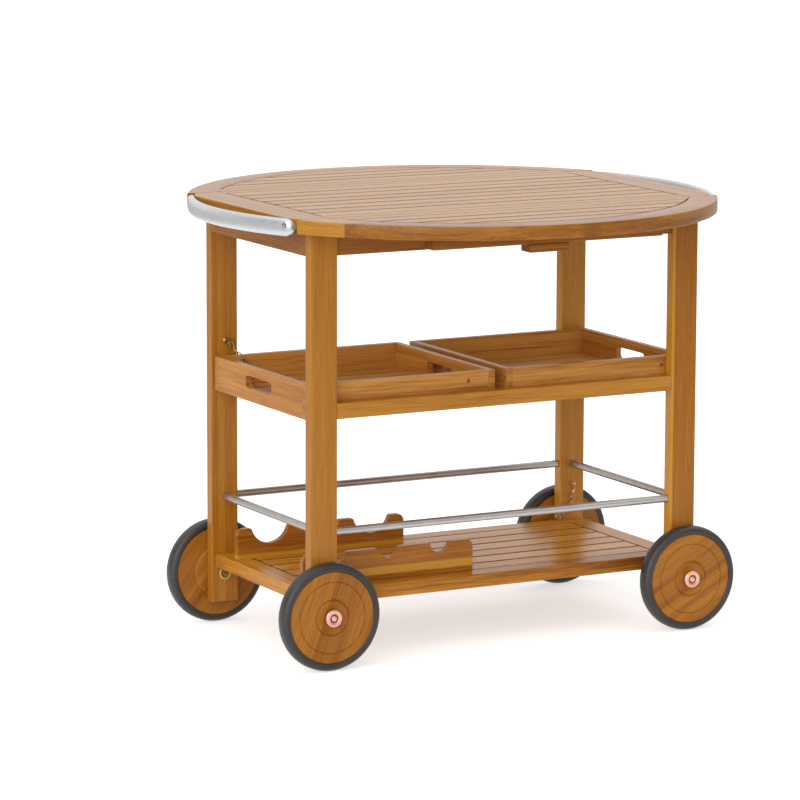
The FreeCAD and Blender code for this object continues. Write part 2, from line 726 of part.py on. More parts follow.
def rack(name, face, radius, depth):
    """An upright board with three hollows, for the bodies or the necks of lying bottles."""
    x_range = ("-rack_centre - rack_length / 2", "-rack_centre + rack_length / 2")
    y_range = (face, f"{face} + rack_thick")
    blank = box(f"rack_{name}_blank", x_range, y_range, ("shelf_top", "rack_top"))
    upper = rounded(f"rack_{name}_corners", blank, "rack_corner",
                    lambda e: along(e, Vector(0, 1, 0)) and e.CenterOfMass.z > number("rack_top") - 1e-6)
    hollows = [cylinder(f"rack_{name}_hollow_{i + 1}", radius, "y", y_range,
                        (f"-rack_centre + {i} * bottle_spacing", f"rack_top - {depth} + {radius}"))
               for i in (-1, 0, 1)]
    body = cut(f"rack_{name}_body", upper, hollows)
    reach = number("1.5 * bottle_spacing")
    centre = number("-rack_centre")
    node(rounded(f"rack_{name}", body, "shoulder_radius",
                 lambda e: along(e, Vector(0, 1, 0)) and e.CenterOfMass.z > number("rack_top") - 1e-6
                 and abs(e.CenterOfMass.x - centre) < reach - number("rack_corner")),
                 f"bottle_rack_{name}")


def wheels():
    """Turned wooden wheels with rubber tyres on fixed axles through the legs, and flat caps."""
    axles, caps = [], []
    for name, sign in sides.items():
        for end, across in ends.items():
            tag = f"wheel_{name}_{end}"

            def out(text):
                return f"{sign} * ({text})"

            bore = "axle_radius + running_gap"
            groove_in = "groove_radius - groove_width / 2"
            groove_out = "groove_radius + groove_width / 2"
            disc = [(bore, out("boss_face")), ("boss_radius", out("boss_face")), ("boss_radius",
                                                                                  out("disc_back")),
                    ("disc_radius", out("disc_back")), ("disc_radius", out("disc_face")),
                    (groove_out, out("disc_face")), (groove_out, out("disc_face - groove_depth")),
                    (groove_in, out("disc_face - groove_depth")), (groove_in, out("disc_face")),
                    ("hub_radius", out("disc_face")), ("hub_radius", out("hub_face")), (bore,
                                                                                        out("hub_face"))]
            middle = (f"{across} * leg_middle_x", "0", "wheel_radius")
            node(place(revolved(f"{tag}_disc_body", disc), *middle), f"{tag}_disc")
            bevel = "tyre_shoulder + tyre_crown * 0.62"
            bevel_run = "tyre_width * 0.15"
            crown_run = "tyre_width * 0.36"
            tyre = [("disc_radius", out("tyre_back")), ("tyre_shoulder", out("tyre_back")),
                    (bevel, out(f"tyre_back + {bevel_run}")),
                    ("wheel_radius", out(f"tyre_back + {crown_run}")),
                    ("wheel_radius", out(f"tyre_face - {crown_run}")),
                    (bevel, out(f"tyre_face - {bevel_run}")),
                    ("tyre_shoulder", out("tyre_face")), ("disc_radius", out("tyre_face"))]
            node(place(revolved(f"{tag}_tyre_body", tyre), *middle), f"{tag}_tyre")
            axle = [("0", out("leg_inner_y - nut_height")),
                    ("nut_radius", out("leg_inner_y - nut_height")),
                    ("nut_radius", out("leg_inner_y - seat_thick")),
                    ("seat_radius", out("leg_inner_y - seat_thick")),
                    ("seat_radius", out("leg_inner_y")), ("axle_radius", out("leg_inner_y")),
                    ("axle_radius", out("leg_outer_y")), ("washer_radius", out("leg_outer_y")),
                    ("washer_radius", out("leg_outer_y + washer_thick")),
                    ("axle_radius", out("leg_outer_y + washer_thick")), ("axle_radius", out("cap_seat")),
                    ("0", out("cap_seat"))]
            axles.append(place(revolved(f"{tag}_axle", axle), *middle))
            ring_floor = out("cap_seat + cap_height - cap_ring_depth")
            cap = [("0", out("cap_seat")), ("cap_radius", out("cap_seat")),
                   ("cap_radius", out("cap_seat + cap_edge")),
                   ("cap_radius - cap_bevel", out("cap_seat + cap_height")),
                   ("cap_ring_outer", out("cap_seat + cap_height")), ("cap_ring_outer", ring_floor),
                   ("cap_ring_inner", ring_floor), ("cap_ring_inner", out("cap_seat + cap_height")),
                   ("0", out("cap_seat + cap_height"))]
            caps.append(place(revolved(f"{tag}_cap", cap), *middle))
    node(group("axle_set", axles), "wheel_axles")
    node(group("cap_set", caps), "wheel_caps")


def flat_wire(points, normal, closed):
    """A wire of square section along straight runs in one plane, mitred at the corners."""
    size = number("wire_radius")
    last = len(points) - 1
    edges = []
    for reach in (size, -size):
        edge = []
        for i, point in enumerate(points):
            following = points[(i + 1) % len(points)]
            before = point - points[i - 1] if closed or i > 0 else points[1] - points[0]
            after = following - point if closed or i < last else points[last] - points[last - 1]
            first = normal.cross(before).normalize()
            second = normal.cross(after).normalize()
            edge.append(point + (first + second) * (reach / (1 + first.dot(second))) - normal * size)
        edges.append(edge)
    if closed:
        outlines = [Part.makePolygon(edge + edge[:1]) for edge in edges]
    else:
        outlines = [Part.makePolygon(edges[0] + edges[1][::-1] + edges[0][:1])]
    return Part.makeFace(outlines, "Part::FaceMakerBullseye").extrude(normal * (2 * size))


def eight_sided(hub, radius, normal):
    """The corners of a regular octagon round a circle."""
    first = normal.cross(Vector(0.31, 0.52, 0.8)).normalize()
    second = normal.cross(first)
    reach = radius / math.cos(math.pi / 8)
    turns = [math.pi / 8 + i * math.pi / 4 for i in range(8)]
    return [hub + first * (reach * math.cos(a)) + second * (reach * math.sin(a)) for a in turns]


def link(first, last, aside):
    """A closed link with bevelled ends, whose hole runs from one point to another."""
    half = number("link_width / 2")
    radius = half + number("wire_radius")
    ahead = (last - first).normalize()
    aside = (aside - ahead * aside.dot(ahead)).normalize()
    low = first + ahead * half
    high = last - ahead * half
    bevel = math.tan(math.pi / 6)
    shape = ((high, 1, 0), (high, bevel, 1), (high, -bevel, 1), (high, -1, 0),
             (low, -1, 0), (low, -bevel, -1), (low, bevel, -1), (low, 1, 0))
    points = [hub + aside * (a * radius) + ahead * (b * radius) for hub, a, b in shape]
    return flat_wire(points, ahead.cross(aside), True)


def chain(points, start_room, end_room):
    """Links from point to point, each turned against the last, with room for what holds both ends."""
    links = []
    gap = number("link_gap / 2")
    for i in range(len(points) - 1):
        ahead = (points[i + 1] - points[i]).normalize()
        first = points[i] - ahead * (start_room if i == 0 else gap)
        last = points[i + 1] + ahead * (end_room if i == len(points) - 2 else gap)
        aside = Vector(ahead.z, 0, -ahead.x) if i % 2 == 0 else ahead.cross(Vector(ahead.z, 0, -ahead.x))
        links.append(link(first, last, aside))
    return links


def screw(x, z, face, depth, radius):
    """A round-headed screw along Y that stands out of a face towards the middle of the cart."""
    inwards = Vector(0, -1, 0)
    reach = number("screw_reach")
    shank = Part.makeCylinder(radius, depth + reach, Vector(x, face + depth, z), inwards)
    head = Part.makeCylinder(number("screw_head"), number("head_height"), Vector(x, face - reach, z),
                             inwards)
    return shank.fuse(head).removeSplitter()


def feature(label, shapes):
    piece = doc.addObject("Part::Feature", label)
    piece.Shape = Part.makeCompound(shapes)
    return node(piece, label)


def about(shape):
    """The same shape half a turn round the cart's upright axis."""
    copy = shape.copy()
    copy.rotate(Vector(), Vector(0, 0, 1), 180)
    return copy


def tray_chain(hole_inset):
    """A hook that opens along the tray's slide, three links, and the pin in the tray wall."""
    wire = number("wire_radius")
    gap = number("link_gap")
    x = -number("leg_outer_x - tray_screw_inset")
    y = number("leg_inner_y - chain_stand_off")
    z = number("tray_screw_height")
    bend = number("screw_radius") + 2 * gap + wire
    bevel = bend * math.tan(math.pi / 6)
    arm = number("link_width") * 2
    ring = number("link_width / 2") + wire
    along_x = Vector(1, 0, 0)
    normal = Vector(0, 1, 0)
    path = [Vector(x + arm / 2, y, z + bend), Vector(x, y, z + bend), Vector(x - bend, y, z + bevel),
            Vector(x - bend, y, z - bevel), Vector(x, y, z - bend), Vector(x + arm, y, z - bend)]
    hub = path[-1] + along_x * ring
    hook = flat_wire(path, normal, False).fuse(flat_wire(eight_sided(hub, ring, normal), normal, True))
    inside = number("tray_inside")
    pin_x = -number("tray_outer_end") + number(hole_inset)
    pin_radius = number("wall_hole_radius") - gap
    pin = screw(pin_x, number("hole_level"), inside, number("tray_wall"), pin_radius)
    pin_y = inside - number("chain_stand_off")
    top = number("tray_top")
    first = hub + along_x * number("link_width / 2")
    points = [first, Vector(first.x + (pin_x - first.x) * 0.38, inside + 4, top + 13),
              Vector(first.x + (pin_x - first.x) * 0.75, pin_y, top + 5.5),
              Vector(pin_x, pin_y, number("hole_level"))]
    return [hook, pin] + chain(points, gap / 2, pin_radius + gap)


def shelf_chain():
    """Links that hang from a leg screw to an eye on the shelf, and the eye."""
    wire = number("wire_radius")
    gap = number("link_gap")
    x = number("leg_outer_x - shelf_screw_inset")
    y = number("leg_inner_y - chain_stand_off")
    z = number("shelf_screw_height")
    bore = number("eye_radius") + wire
    foot = Vector(number("shelf_half_length - eye_inset"), number("leg_inner_y - eye_margin"),
                  number("shelf_top"))
    hub = foot + Vector(0, 0, wire + bore)
    stem = Part.makeCylinder(wire, number("eye_stem") + wire, foot - Vector(0, 0, number("eye_stem")))
    eye = flat_wire(eight_sided(hub, bore, Vector(0, 1, 0)), Vector(0, 1, 0), True).fuse(stem)
    points = [Vector(x, y, z), Vector(x - 1, y, z - 15), Vector(x - 2, y, z - 29), Vector(x - 4, y - 1,
                                                                                          z - 43),
              Vector(x - 15, y - 2, z - 51), hub + Vector(number("eye_radius"), 0, 0)]
    return chain(points, number("screw_radius") + gap, gap / 2) + [eye]


def chains():
    """Retaining chains: one hooks each tray to a leg, and one hangs from a leg to an eye on the shelf."""
    feature("tray_chain_left", tray_chain("back_hole_inset"))
    feature("tray_chain_right", [about(shape) for shape in tray_chain("front_hole_inset")])
    near = shelf_chain()
    feature("shelf_chains", near + [about(shape) for shape in near])
    face = number("leg_inner_y")
    depth = number("screw_depth")
    radius = number("screw_radius")
    screws = [screw(-number("leg_outer_x - tray_screw_inset"), number("tray_screw_height"), face, depth,
                    radius),
              screw(number("leg_outer_x - shelf_screw_inset"), number("shelf_screw_height"), face,
                    depth, radius)]
    feature("chain_screws", screws + [about(shape) for shape in screws])


fixed_top()
for name, sign in sides.items():
    leaf(name, sign)
hinges()
handles()
frame()
for end, across in ends.items():
    tray(end, across)
shelf()
rack("back", "rack_back", "body_radius", "body_depth")
rack("front", "-rack_front", "neck_radius", "neck_depth")
wheels()
chains()
doc.recompute()

for piece in doc.Objects:
    if "Invalid" in piece.State or "Error" in piece.State:
        raise RuntimeError(f"{piece.Label} failed to build: {piece.State}")
for piece in nodes:
    if piece.Shape.isNull() or not piece.Shape.isValid():
        raise RuntimeError(f"{piece.Label} has no valid shape")

os.makedirs("parts", exist_ok=True)
for piece in nodes:
    piece.Shape.exportStep(os.path.join("parts", piece.Label + ".step"))
    print(piece.Label, len(piece.Shape.Solids), round(piece.Shape.Volume))
print(len(nodes), "nodes")
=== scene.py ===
import bpy
import bmesh
import numpy as np
from mathutils import Matrix, Vector


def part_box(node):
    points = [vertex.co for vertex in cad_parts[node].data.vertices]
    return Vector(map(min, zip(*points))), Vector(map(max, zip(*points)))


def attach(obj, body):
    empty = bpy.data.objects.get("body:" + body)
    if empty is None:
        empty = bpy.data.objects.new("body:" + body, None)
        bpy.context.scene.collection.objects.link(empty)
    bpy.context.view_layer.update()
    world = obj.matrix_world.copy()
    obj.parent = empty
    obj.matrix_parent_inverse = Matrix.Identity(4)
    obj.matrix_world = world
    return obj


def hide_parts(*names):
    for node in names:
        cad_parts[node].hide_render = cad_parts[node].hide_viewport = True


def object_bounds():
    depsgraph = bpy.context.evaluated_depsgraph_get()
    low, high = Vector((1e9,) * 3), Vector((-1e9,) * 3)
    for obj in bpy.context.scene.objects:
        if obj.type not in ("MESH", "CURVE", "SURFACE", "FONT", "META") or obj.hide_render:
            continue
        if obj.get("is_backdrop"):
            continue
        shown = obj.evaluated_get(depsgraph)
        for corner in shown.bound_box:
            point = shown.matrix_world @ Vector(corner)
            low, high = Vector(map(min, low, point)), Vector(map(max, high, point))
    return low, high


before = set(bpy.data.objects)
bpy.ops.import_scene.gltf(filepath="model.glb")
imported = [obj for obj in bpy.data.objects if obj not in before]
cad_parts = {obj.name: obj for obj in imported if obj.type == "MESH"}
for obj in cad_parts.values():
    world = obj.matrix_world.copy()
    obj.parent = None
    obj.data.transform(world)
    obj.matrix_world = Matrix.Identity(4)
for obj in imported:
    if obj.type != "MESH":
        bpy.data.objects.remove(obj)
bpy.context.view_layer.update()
print("frame loaded:", len(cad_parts), "nodes")

mm = 0.001  # sizes below are in millimetres
quarter = np.pi / 2
tiny = 1e-9  # keeps a division from failing
sides = (-1, 1)  # front and back, or left and right
roll = np.array([(1, 0), (0.3, 0.3), (0, 1)])  # rings of a rim rolled over: inset and sunk, in softnesses

# main sizes of the cart, shared by its pieces, and how strongly shade is painted into its slits
cart = {
    "topZ": 749.3, "topUnder": 726.3, "topRadius": 450.85, "rimInner": 401.85, "seam": 207.0, "seamGap": 1.0,
    "legInX": 321.0, "legOutY": 197.5, "legInY": 177.5, "shelfLow": 103.0, "shelfTop": 126.0,
    "wheelX": 345.5, "wheelZ": 90.5, "slatGap": 5.0, "slatSlit": 2.5,
    "tongueInset": (1.0, 8.0), "tongueSoft": 0.5, "gapShade": 0.80, "slitShade": 0.85,
}


# mesh tools

def surface(points, faces, wood, **marks):
    # a mesh in the making: points, faces, each point's place in its board, and marks for the materials
    part = {key: value.ravel() for key, value in marks.items()}
    return dict(part, points=points.reshape(-1, 3), faces=faces, wood=wood.reshape(-1, 3))


def gridFaces(rings, count, closed=False):
    # quads between neighbouring rings of points, round and round
    k = np.arange(rings if closed else rings - 1)[:, None] * count
    m = np.arange(count)
    after, turn = (k + count) % (rings * count), (m + 1) % count
    return np.stack([k + m, k + turn, after + turn, after + m], -1).reshape(-1, 4).tolist()


def capFaces(rings, count):
    # one face across the first ring and one across the last
    return [list(range(count))[::-1], list(range((rings - 1) * count, rings * count))]


def boardGrid(low, high, axis, soft, halfLength=None, steps=3, extra=0):
    # rounded box: corner arcs of radius soft*cos(psi) carried along the grain, the ends closing by
    # soft*sin(psi); extra points across its two flats let a curved end follow halfLength
    low, high = np.array(low, float), np.array(high, float)
    a, b = (axis + 1) % 3, (axis + 2) % 3
    mid, half = (low + high) / 2, (high - low) / 2
    soft = min(soft, half.min() * 0.95)
    n, arc = steps + 1, np.linspace(0, quarter, steps + 1)
    fill, flat = np.cos(np.linspace(0, np.pi, extra + 2))[1:-1], np.full(extra, quarter)
    phi = np.concatenate([arc, flat, arc + quarter, arc + 2 * quarter, flat + 2 * quarter, arc + 3 * quarter])
    cornerA = np.concatenate([np.ones(n), fill, -np.ones(2 * n), -fill, np.ones(n)])
    cornerB = np.repeat([1.0, -1.0], 2 * n + extra)
    psi = np.concatenate([arc - quarter, arc])[:, None]
    end = np.repeat([-1.0, 1.0], n)[:, None]
    across = cornerA * (half[a] - soft) + soft * np.cos(psi) * np.cos(phi)
    through = cornerB * (half[b] - soft) + soft * np.cos(psi) * np.sin(phi)
    reach = half[axis] if halfLength is None else halfLength(across + mid[a])
    along = end * (reach - soft) + soft * np.sin(psi) + 0 * across
    wood = np.stack([along, across, through], -1)
    points = np.empty(wood.shape)
    points[..., [axis, a, b]] = wood + mid[[axis, a, b]]
    rings, count = across.shape
    upper = np.arange(n - 1, n + extra + 1)
    lower = np.arange(3 * n + extra - 1, 3 * n + 2 * extra + 1)[::-1]
    cap = np.stack([upper[:-1], upper[1:], lower[1:], lower[:-1]], 1)
    caps = np.concatenate([cap[:, ::-1], cap + (rings - 1) * count]).tolist()
    endness = np.abs(np.sin(psi)) + 0 * across
    # side marks the flanks and ends, where painted shade for the slits between boards may go
    return surface(points, gridFaces(rings, count) + caps, wood, end=endness ** 3,
                   side=np.maximum(np.cos(phi) ** 2 * np.cos(psi), endness))


def sectionLoop(low, high, soft, steps=4):
    # rounded rectangle between two corners, as (first, second) coordinates in order
    low, high = np.array(low, float), np.array(high, float)
    mid, half = (low + high) / 2, (high - low) / 2
    phi = (np.linspace(0, quarter, steps + 1) + np.arange(4)[:, None] * quarter).ravel()
    corner = np.repeat([[1, 1], [-1, 1], [-1, -1], [1, -1]], steps + 1, axis=0)
    return mid + corner * (half - soft) + soft * np.stack([np.cos(phi), np.sin(phi)], 1)


def arcBoard(section, start, t0, t1, steps, side):
    # section (radius, height) carried round the upright axis, from share t0 to t1 of the arc beyond y = start
    radius, height = section.T[:, None]
    first = np.arcsin(start / radius)
    angle = first + np.linspace(t0, t1, steps)[:, None] * (np.pi - 2 * first)
    x, y = radius * np.cos(angle), radius * np.sin(angle)
    points = np.stack([x, side * y, height + 0 * angle], -1)
    c, s = np.cos(angle.mean()), np.sin(angle.mean())
    wood = np.stack([y * c - x * s, x * c + y * s, points[..., 2]], -1)
    return surface(points, gridFaces(*x.shape) + capFaces(*x.shape), wood)


def lathe(profile, centre, side, segments, grainTurn=0.0, closed=True):
    # profile (radius, distance out along Y) turned about an axis along Y
    radius, out = np.array(profile, float).T[..., None]
    turn = np.linspace(0, 2 * np.pi, segments, endpoint=False)
    x, y, z = radius * np.cos(turn), side * out + 0 * turn, radius * np.sin(turn)
    c, s = np.cos(grainTurn), np.sin(grainTurn)
    wood = np.stack([x * c + z * s, z * c - x * s, y], -1)
    return surface(np.stack([x, y, z], -1) + centre, gridFaces(*x.shape, closed), wood)


def plate(outline, yLow, yHigh, soft):
    # outline (x, z) between two planes across Y, its rims rolled in by soft along the outline's normals
    ahead = np.roll(outline, -1, 0) - np.roll(outline, 1, 0)
    normal = np.stack([ahead[:, 1], -ahead[:, 0]], 1)
    normal /= np.linalg.norm(normal, axis=1)[:, None]
    inset, sink = roll.T * soft
    y = np.concatenate([yLow + sink, (yHigh - sink)[::-1]])[:, None]
    x, z = np.moveaxis(outline - np.concatenate([inset, inset[::-1]])[:, None, None] * normal, -1, 0)
    points = np.stack([x, y + 0 * x, z], -1)
    return surface(points, gridFaces(*x.shape) + capFaces(*x.shape), points[..., [0, 2, 1]])


def tube(path, radius, guide, count=10, closed=False):
    # circle of the wire's radius carried along a path of points, squared to the path's direction
    path = np.array(path, float)
    ahead = np.roll(path, -1, 0) - np.roll(path, 1, 0) if closed else np.gradient(path, axis=0)
    first = np.cross(ahead / np.linalg.norm(ahead, axis=1)[:, None], guide)
    first /= np.linalg.norm(first, axis=1)[:, None]
    second = np.cross(ahead / np.linalg.norm(ahead, axis=1)[:, None], first)
    turn = np.linspace(0, 2 * np.pi, count, endpoint=False)[:, None]
    points = path[:, None] + radius * (np.cos(turn) * first[:, None] + np.sin(turn) * second[:, None])
    size = points.shape[:2]
    return surface(points, gridFaces(*size, closed) + ([] if closed else capFaces(*size)), points)


logPlace = ((-900, 18, -60), (900, 95, 60))  # where in the log a board may be cut from


def tinted(part, tone, seed, figure=1.0, sap=None, gap=0.0):
    # gives a board its own tone, strength of figure and place in the log; sap is the middle and half width
    # of a pale band across it, kept as a distance that is linear over every face; gap paints shade on a
    # slat's sides, for the dark inside the slits between boards
    count = len(part["points"])
    part["tone"], part["figure"] = np.full(count, tone), np.full(count, figure)
    if sap:
        part["sap"] = (part["wood"][:, 1] - sap[0]) / sap[1]
    if gap:
        part["gap"] = part["side"] * gap
    part["wood"] = part["wood"] + np.random.default_rng(seed).uniform(*logPlace)
    return part


def tintedAll(boards, tones, seeds, figure=1.0, gap=0.0):
    return [tinted(board, tone, seed, figure, gap=gap) for board, tone, seed in zip(boards, tones, seeds)]


def tongue(board, tone, seed):
    # a tongue lies deep in its slit, so painted shade darkens it all over
    board["side"] = np.ones(len(board["points"]))
    return tinted(board, tone, seed, gap=cart["slitShade"])


def span(side, near, far):
    # low and high end of a stretch between two distances on one side of the middle
    return sorted((side * near, side * far))


def boardPair(axis, near, far, half, z, soft):
    # two boards along X or Y, one on each side of the middle, whose flanks lie between near and far
    pair = [((-half, low), (half, high)) for low, high in (span(s, near, far) for s in sides)]
    turn = -1 if axis else 1  # a board along Y has the two swapped
    return [boardGrid((*low[::turn], z[0]), (*high[::turn], z[1]), axis, soft) for low, high in pair]


def innerFace(board, axis, near, soft):
    # marks only the flank that looks towards the cart's middle, for painted shade in the slit there
    board["side"] = np.clip(1 - (np.abs(board["points"][:, axis]) - near) / soft, 0, 1)
    return board


def slatRow(x, z, field, tones, seed, soft, gap, reach=None):
    # boards side by side from -field to field across Y; reach is how far their tongues go on into the slits;
    # gap is how strongly shade is painted on their sides
    pitch = 2 * field / len(tones)
    flank, face = cart["tongueInset"]
    slats = []
    for i, tone in enumerate(tones):
        low = -field + i * pitch + cart["slatGap"] / 2
        high = low + pitch - cart["slatGap"]
        slat = boardGrid((x[0], low, z[0]), (x[1], high, z[1]), 0, soft)
        slats.append(tinted(slat, tone, seed + i, gap=gap))
        if reach:
            corners = (x[0] - reach, low + flank, z[0] + face), (x[1] + reach, high - flank, z[1] - face)
            slats.append(tongue(boardGrid(*corners, 0, cart["tongueSoft"]), tone, seed + i))
    return slats


# each mark's attribute, and its value where a part has none
markNames = {"tone": ("tone", 0.5), "end": ("endGrain", 0.0), "figure": ("figure", 1.0),
             "sap": ("sapBand", 9.0), "gap": ("gapShade", 0.0)}


def makePiece(name, parts, material, body, nodes=(), smoothAngle=None):
    # joins parts into one object, with their marks as attributes, and hangs it on a body
    points = np.concatenate([p["points"] for p in parts]) * mm
    starts = np.cumsum([0] + [len(p["points"]) for p in parts[:-1]])
    faces = [[i + s for i in f] for p, s in zip(parts, starts) for f in p["faces"]]
    mesh = bpy.data.meshes.new(name)
    mesh.from_pydata(points, [], faces)
    wood = np.concatenate([p["wood"] for p in parts]) * mm
    place = mesh.attributes.new("woodPos", "FLOAT_VECTOR", "POINT")
    place.data.foreach_set("vector", wood.astype(np.float32).ravel())
    for key, (label, plain) in markNames.items():
        values = np.concatenate([p.get(key, np.full(len(p["points"]), plain)) for p in parts])
        mesh.attributes.new(label, "FLOAT", "POINT").data.foreach_set("value", values.astype(np.float32))
    work = bmesh.new()
    work.from_mesh(mesh)
    bmesh.ops.remove_doubles(work, verts=work.verts, dist=1e-6)
    bmesh.ops.dissolve_degenerate(work, edges=work.edges, dist=1e-7)
    bmesh.ops.recalc_face_normals(work, faces=work.faces)
    work.to_mesh(mesh)
    work.free()
    if smoothAngle:
        mesh.shade_smooth()
        mesh.set_sharp_from_angle(angle=np.radians(smoothAngle))
    piece = bpy.data.objects.new(name, mesh)
    bpy.context.scene.collection.objects.link(piece)
    mesh.materials.append(material)
    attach(piece, body)
    if nodes:
        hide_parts(*nodes)


def woodPiece(name, boards, material, node, body="frame", smoothAngle=None):
    makePiece(name, boards, material, body, [node], smoothAngle)


# material tools

def shade(r, g, b):
    # screen colour 0 to 255 to the linear colour that nodes use
    c = np.array([r, g, b]) / 255.0
    return tuple(np.where(c <= 0.04045, c / 12.92, ((c + 0.055) / 1.055) ** 2.4)) + (1.0,)


class Nodes:
    def __init__(self, name=None, tree=None):
        self.tree = tree
        if name:
            self.material = bpy.data.materials.new(name)
            self.material.use_nodes = True
            self.tree = self.material.node_tree
            self.surface = self.tree.nodes["Principled BSDF"]

    def put(self, socket, value):
        if isinstance(value, bpy.types.NodeSocket):
            self.tree.links.new(value, socket)
        else:
            socket.default_value = value

    def look(self, **values):
        # sets inputs of the surface shader, named with underscores for spaces
        for key, value in values.items():
            self.put(self.surface.inputs[key.replace("_", " ")], value)

    def add(self, kind, inputs=(), **settings):
        # a new node, with its settings and then its inputs, by name or number
        node = self.tree.nodes.new("ShaderNode" + kind)
        for key, value in settings.items():
            setattr(node, key, value)
        for key, value in dict(inputs).items():
            self.put(node.inputs[key], value)
        return node

    def attribute(self, name, output="Fac"):
        return self.add("Attribute", attribute_name=name).outputs[output]

    def objectPlace(self):
        return self.add("TexCoord").outputs["Object"]

    def math(self, operation, a, b=0.0):
        return self.add("Math", {0: a, 1: b}, operation=operation).outputs[0]

    def vector(self, operation, a, b=(0, 0, 0), output="Vector"):
        return self.add("VectorMath", {0: a, 1: b}, operation=operation).outputs[output]

    def part(self, vector, axis):
        return self.add("SeparateXYZ", {0: vector}).outputs[axis]

    def noise(self, vector, scale, detail=2.0, rough=0.5, output="Fac"):
        place = self.vector("MULTIPLY", vector, scale)
        inputs = {"Vector": place, "Scale": 1.0, "Detail": detail, "Roughness": rough}
        return self.add("TexNoise", inputs).outputs[output]

    def ramp(self, value, stops):
        node = self.add("ValToRGB", {"Fac": value})
        band = node.color_ramp.elements
        while len(band) < len(stops):
            band.new(0.5)
        for element, (place, colour) in zip(band, stops):
            element.position, element.color = place, colour
        return node.outputs["Color"]

    def range(self, value, low, high, toLow=0.0, toHigh=1.0):
        return self.add("MapRange", enumerate((value, low, high, toLow, toHigh)), clamp=True).outputs[0]

    def mix(self, amount, a, b):
        return self.add("Mix", {0: amount, 6: a, 7: b}, data_type="RGBA", clamp_factor=True).outputs[2]

    def blend(self, a, b, share):
        # weighted sum of two values
        return self.math("ADD", self.math("MULTIPLY", a, 1 - share), self.math("MULTIPLY", b, share))

    def bump(self, height, strength, distance):
        node = self.add("Bump", {"Strength": strength, "Distance": distance, "Height": height})
        self.look(Normal=node.outputs["Normal"])

    def rays(self):
        # 1 for rays that mirror the stage, and 1 for those or the camera's own
        path = self.add("LightPath").outputs
        mirrored = self.math("MAXIMUM", path["Is Glossy Ray"], path["Is Transmission Ray"])
        return mirrored, self.math("MAXIMUM", path["Is Camera Ray"], mirrored)


# oiled acacia: faint rings round a log axis, heartwood streaks, pale sapwood bands, pores and dark end grain,
# and a dark gap colour painted as shade into the slits between boards
acaciaLook = {
    "dark": (120, 67, 18), "brown": (152, 91, 26), "gold": (170, 108, 33), "pale": (190, 131, 49),
    "heart": (104, 56, 18), "sap": (206, 148, 46), "endGrain": (112, 64, 20), "gap": (52, 30, 14),
    "knot": (84, 42, 14), "rough": 0.25, "gloss": 0.22, "toneReach": 0.9,
    "ringPull": 0.10, "streakPull": 0.22, "fibrePull": 0.20,
    "sapPull": 0.45, "bandPull": 0.85, "heartPull": 0.5, "knotPull": 0.75, "porePull": 0.35, "endPull": 0.6,
}
# sizes of the figure, shared by every wood: repeats per metre along, across and through the board, or metres
figureSize = {
    "streak": (2.2, 52, 52), "fibre": (16, 700, 700), "pore": (60, 2100, 2100), "sap": (0.5, 34, 34),
    "heart": (1.3, 44, 44), "ripple": (3.0, 30, 30), "knot": (7.5, 21, 21), "sway": (3.2, 26, 26),
    "ring": 0.009, "ringStretch": (0.04, 1, 1), "swayReach": (0, 0.03, 0.03), "knotSway": (0, 12, 12),
    "staveShift": (0.9, 0.09, 0.11), "staveTone": 0.25, "knotShare": 0.16, "ringBend": 1.6,
}
# where a texture's value starts to show and shows in full
figureFrom = {
    "wave": (0.3, 0.7), "sap": (0.64, 0.70), "heart": (0.60, 0.74), "knot": (0.03, 0.13),
    "knotFigure": (1.1, 1.5), "ripple": (0.2, 0.8), "band": (0.0, 0.3), "pore": (0.58, 0.72),
    "rough": (0.2, 0.8),
}
rippleReach, roughReach, poreDepth = (-0.25, 0.25), np.array([-0.05, 0.08]), -0.5
waveRepeat = 0.314  # metres between the rings of a wave texture at scale 1


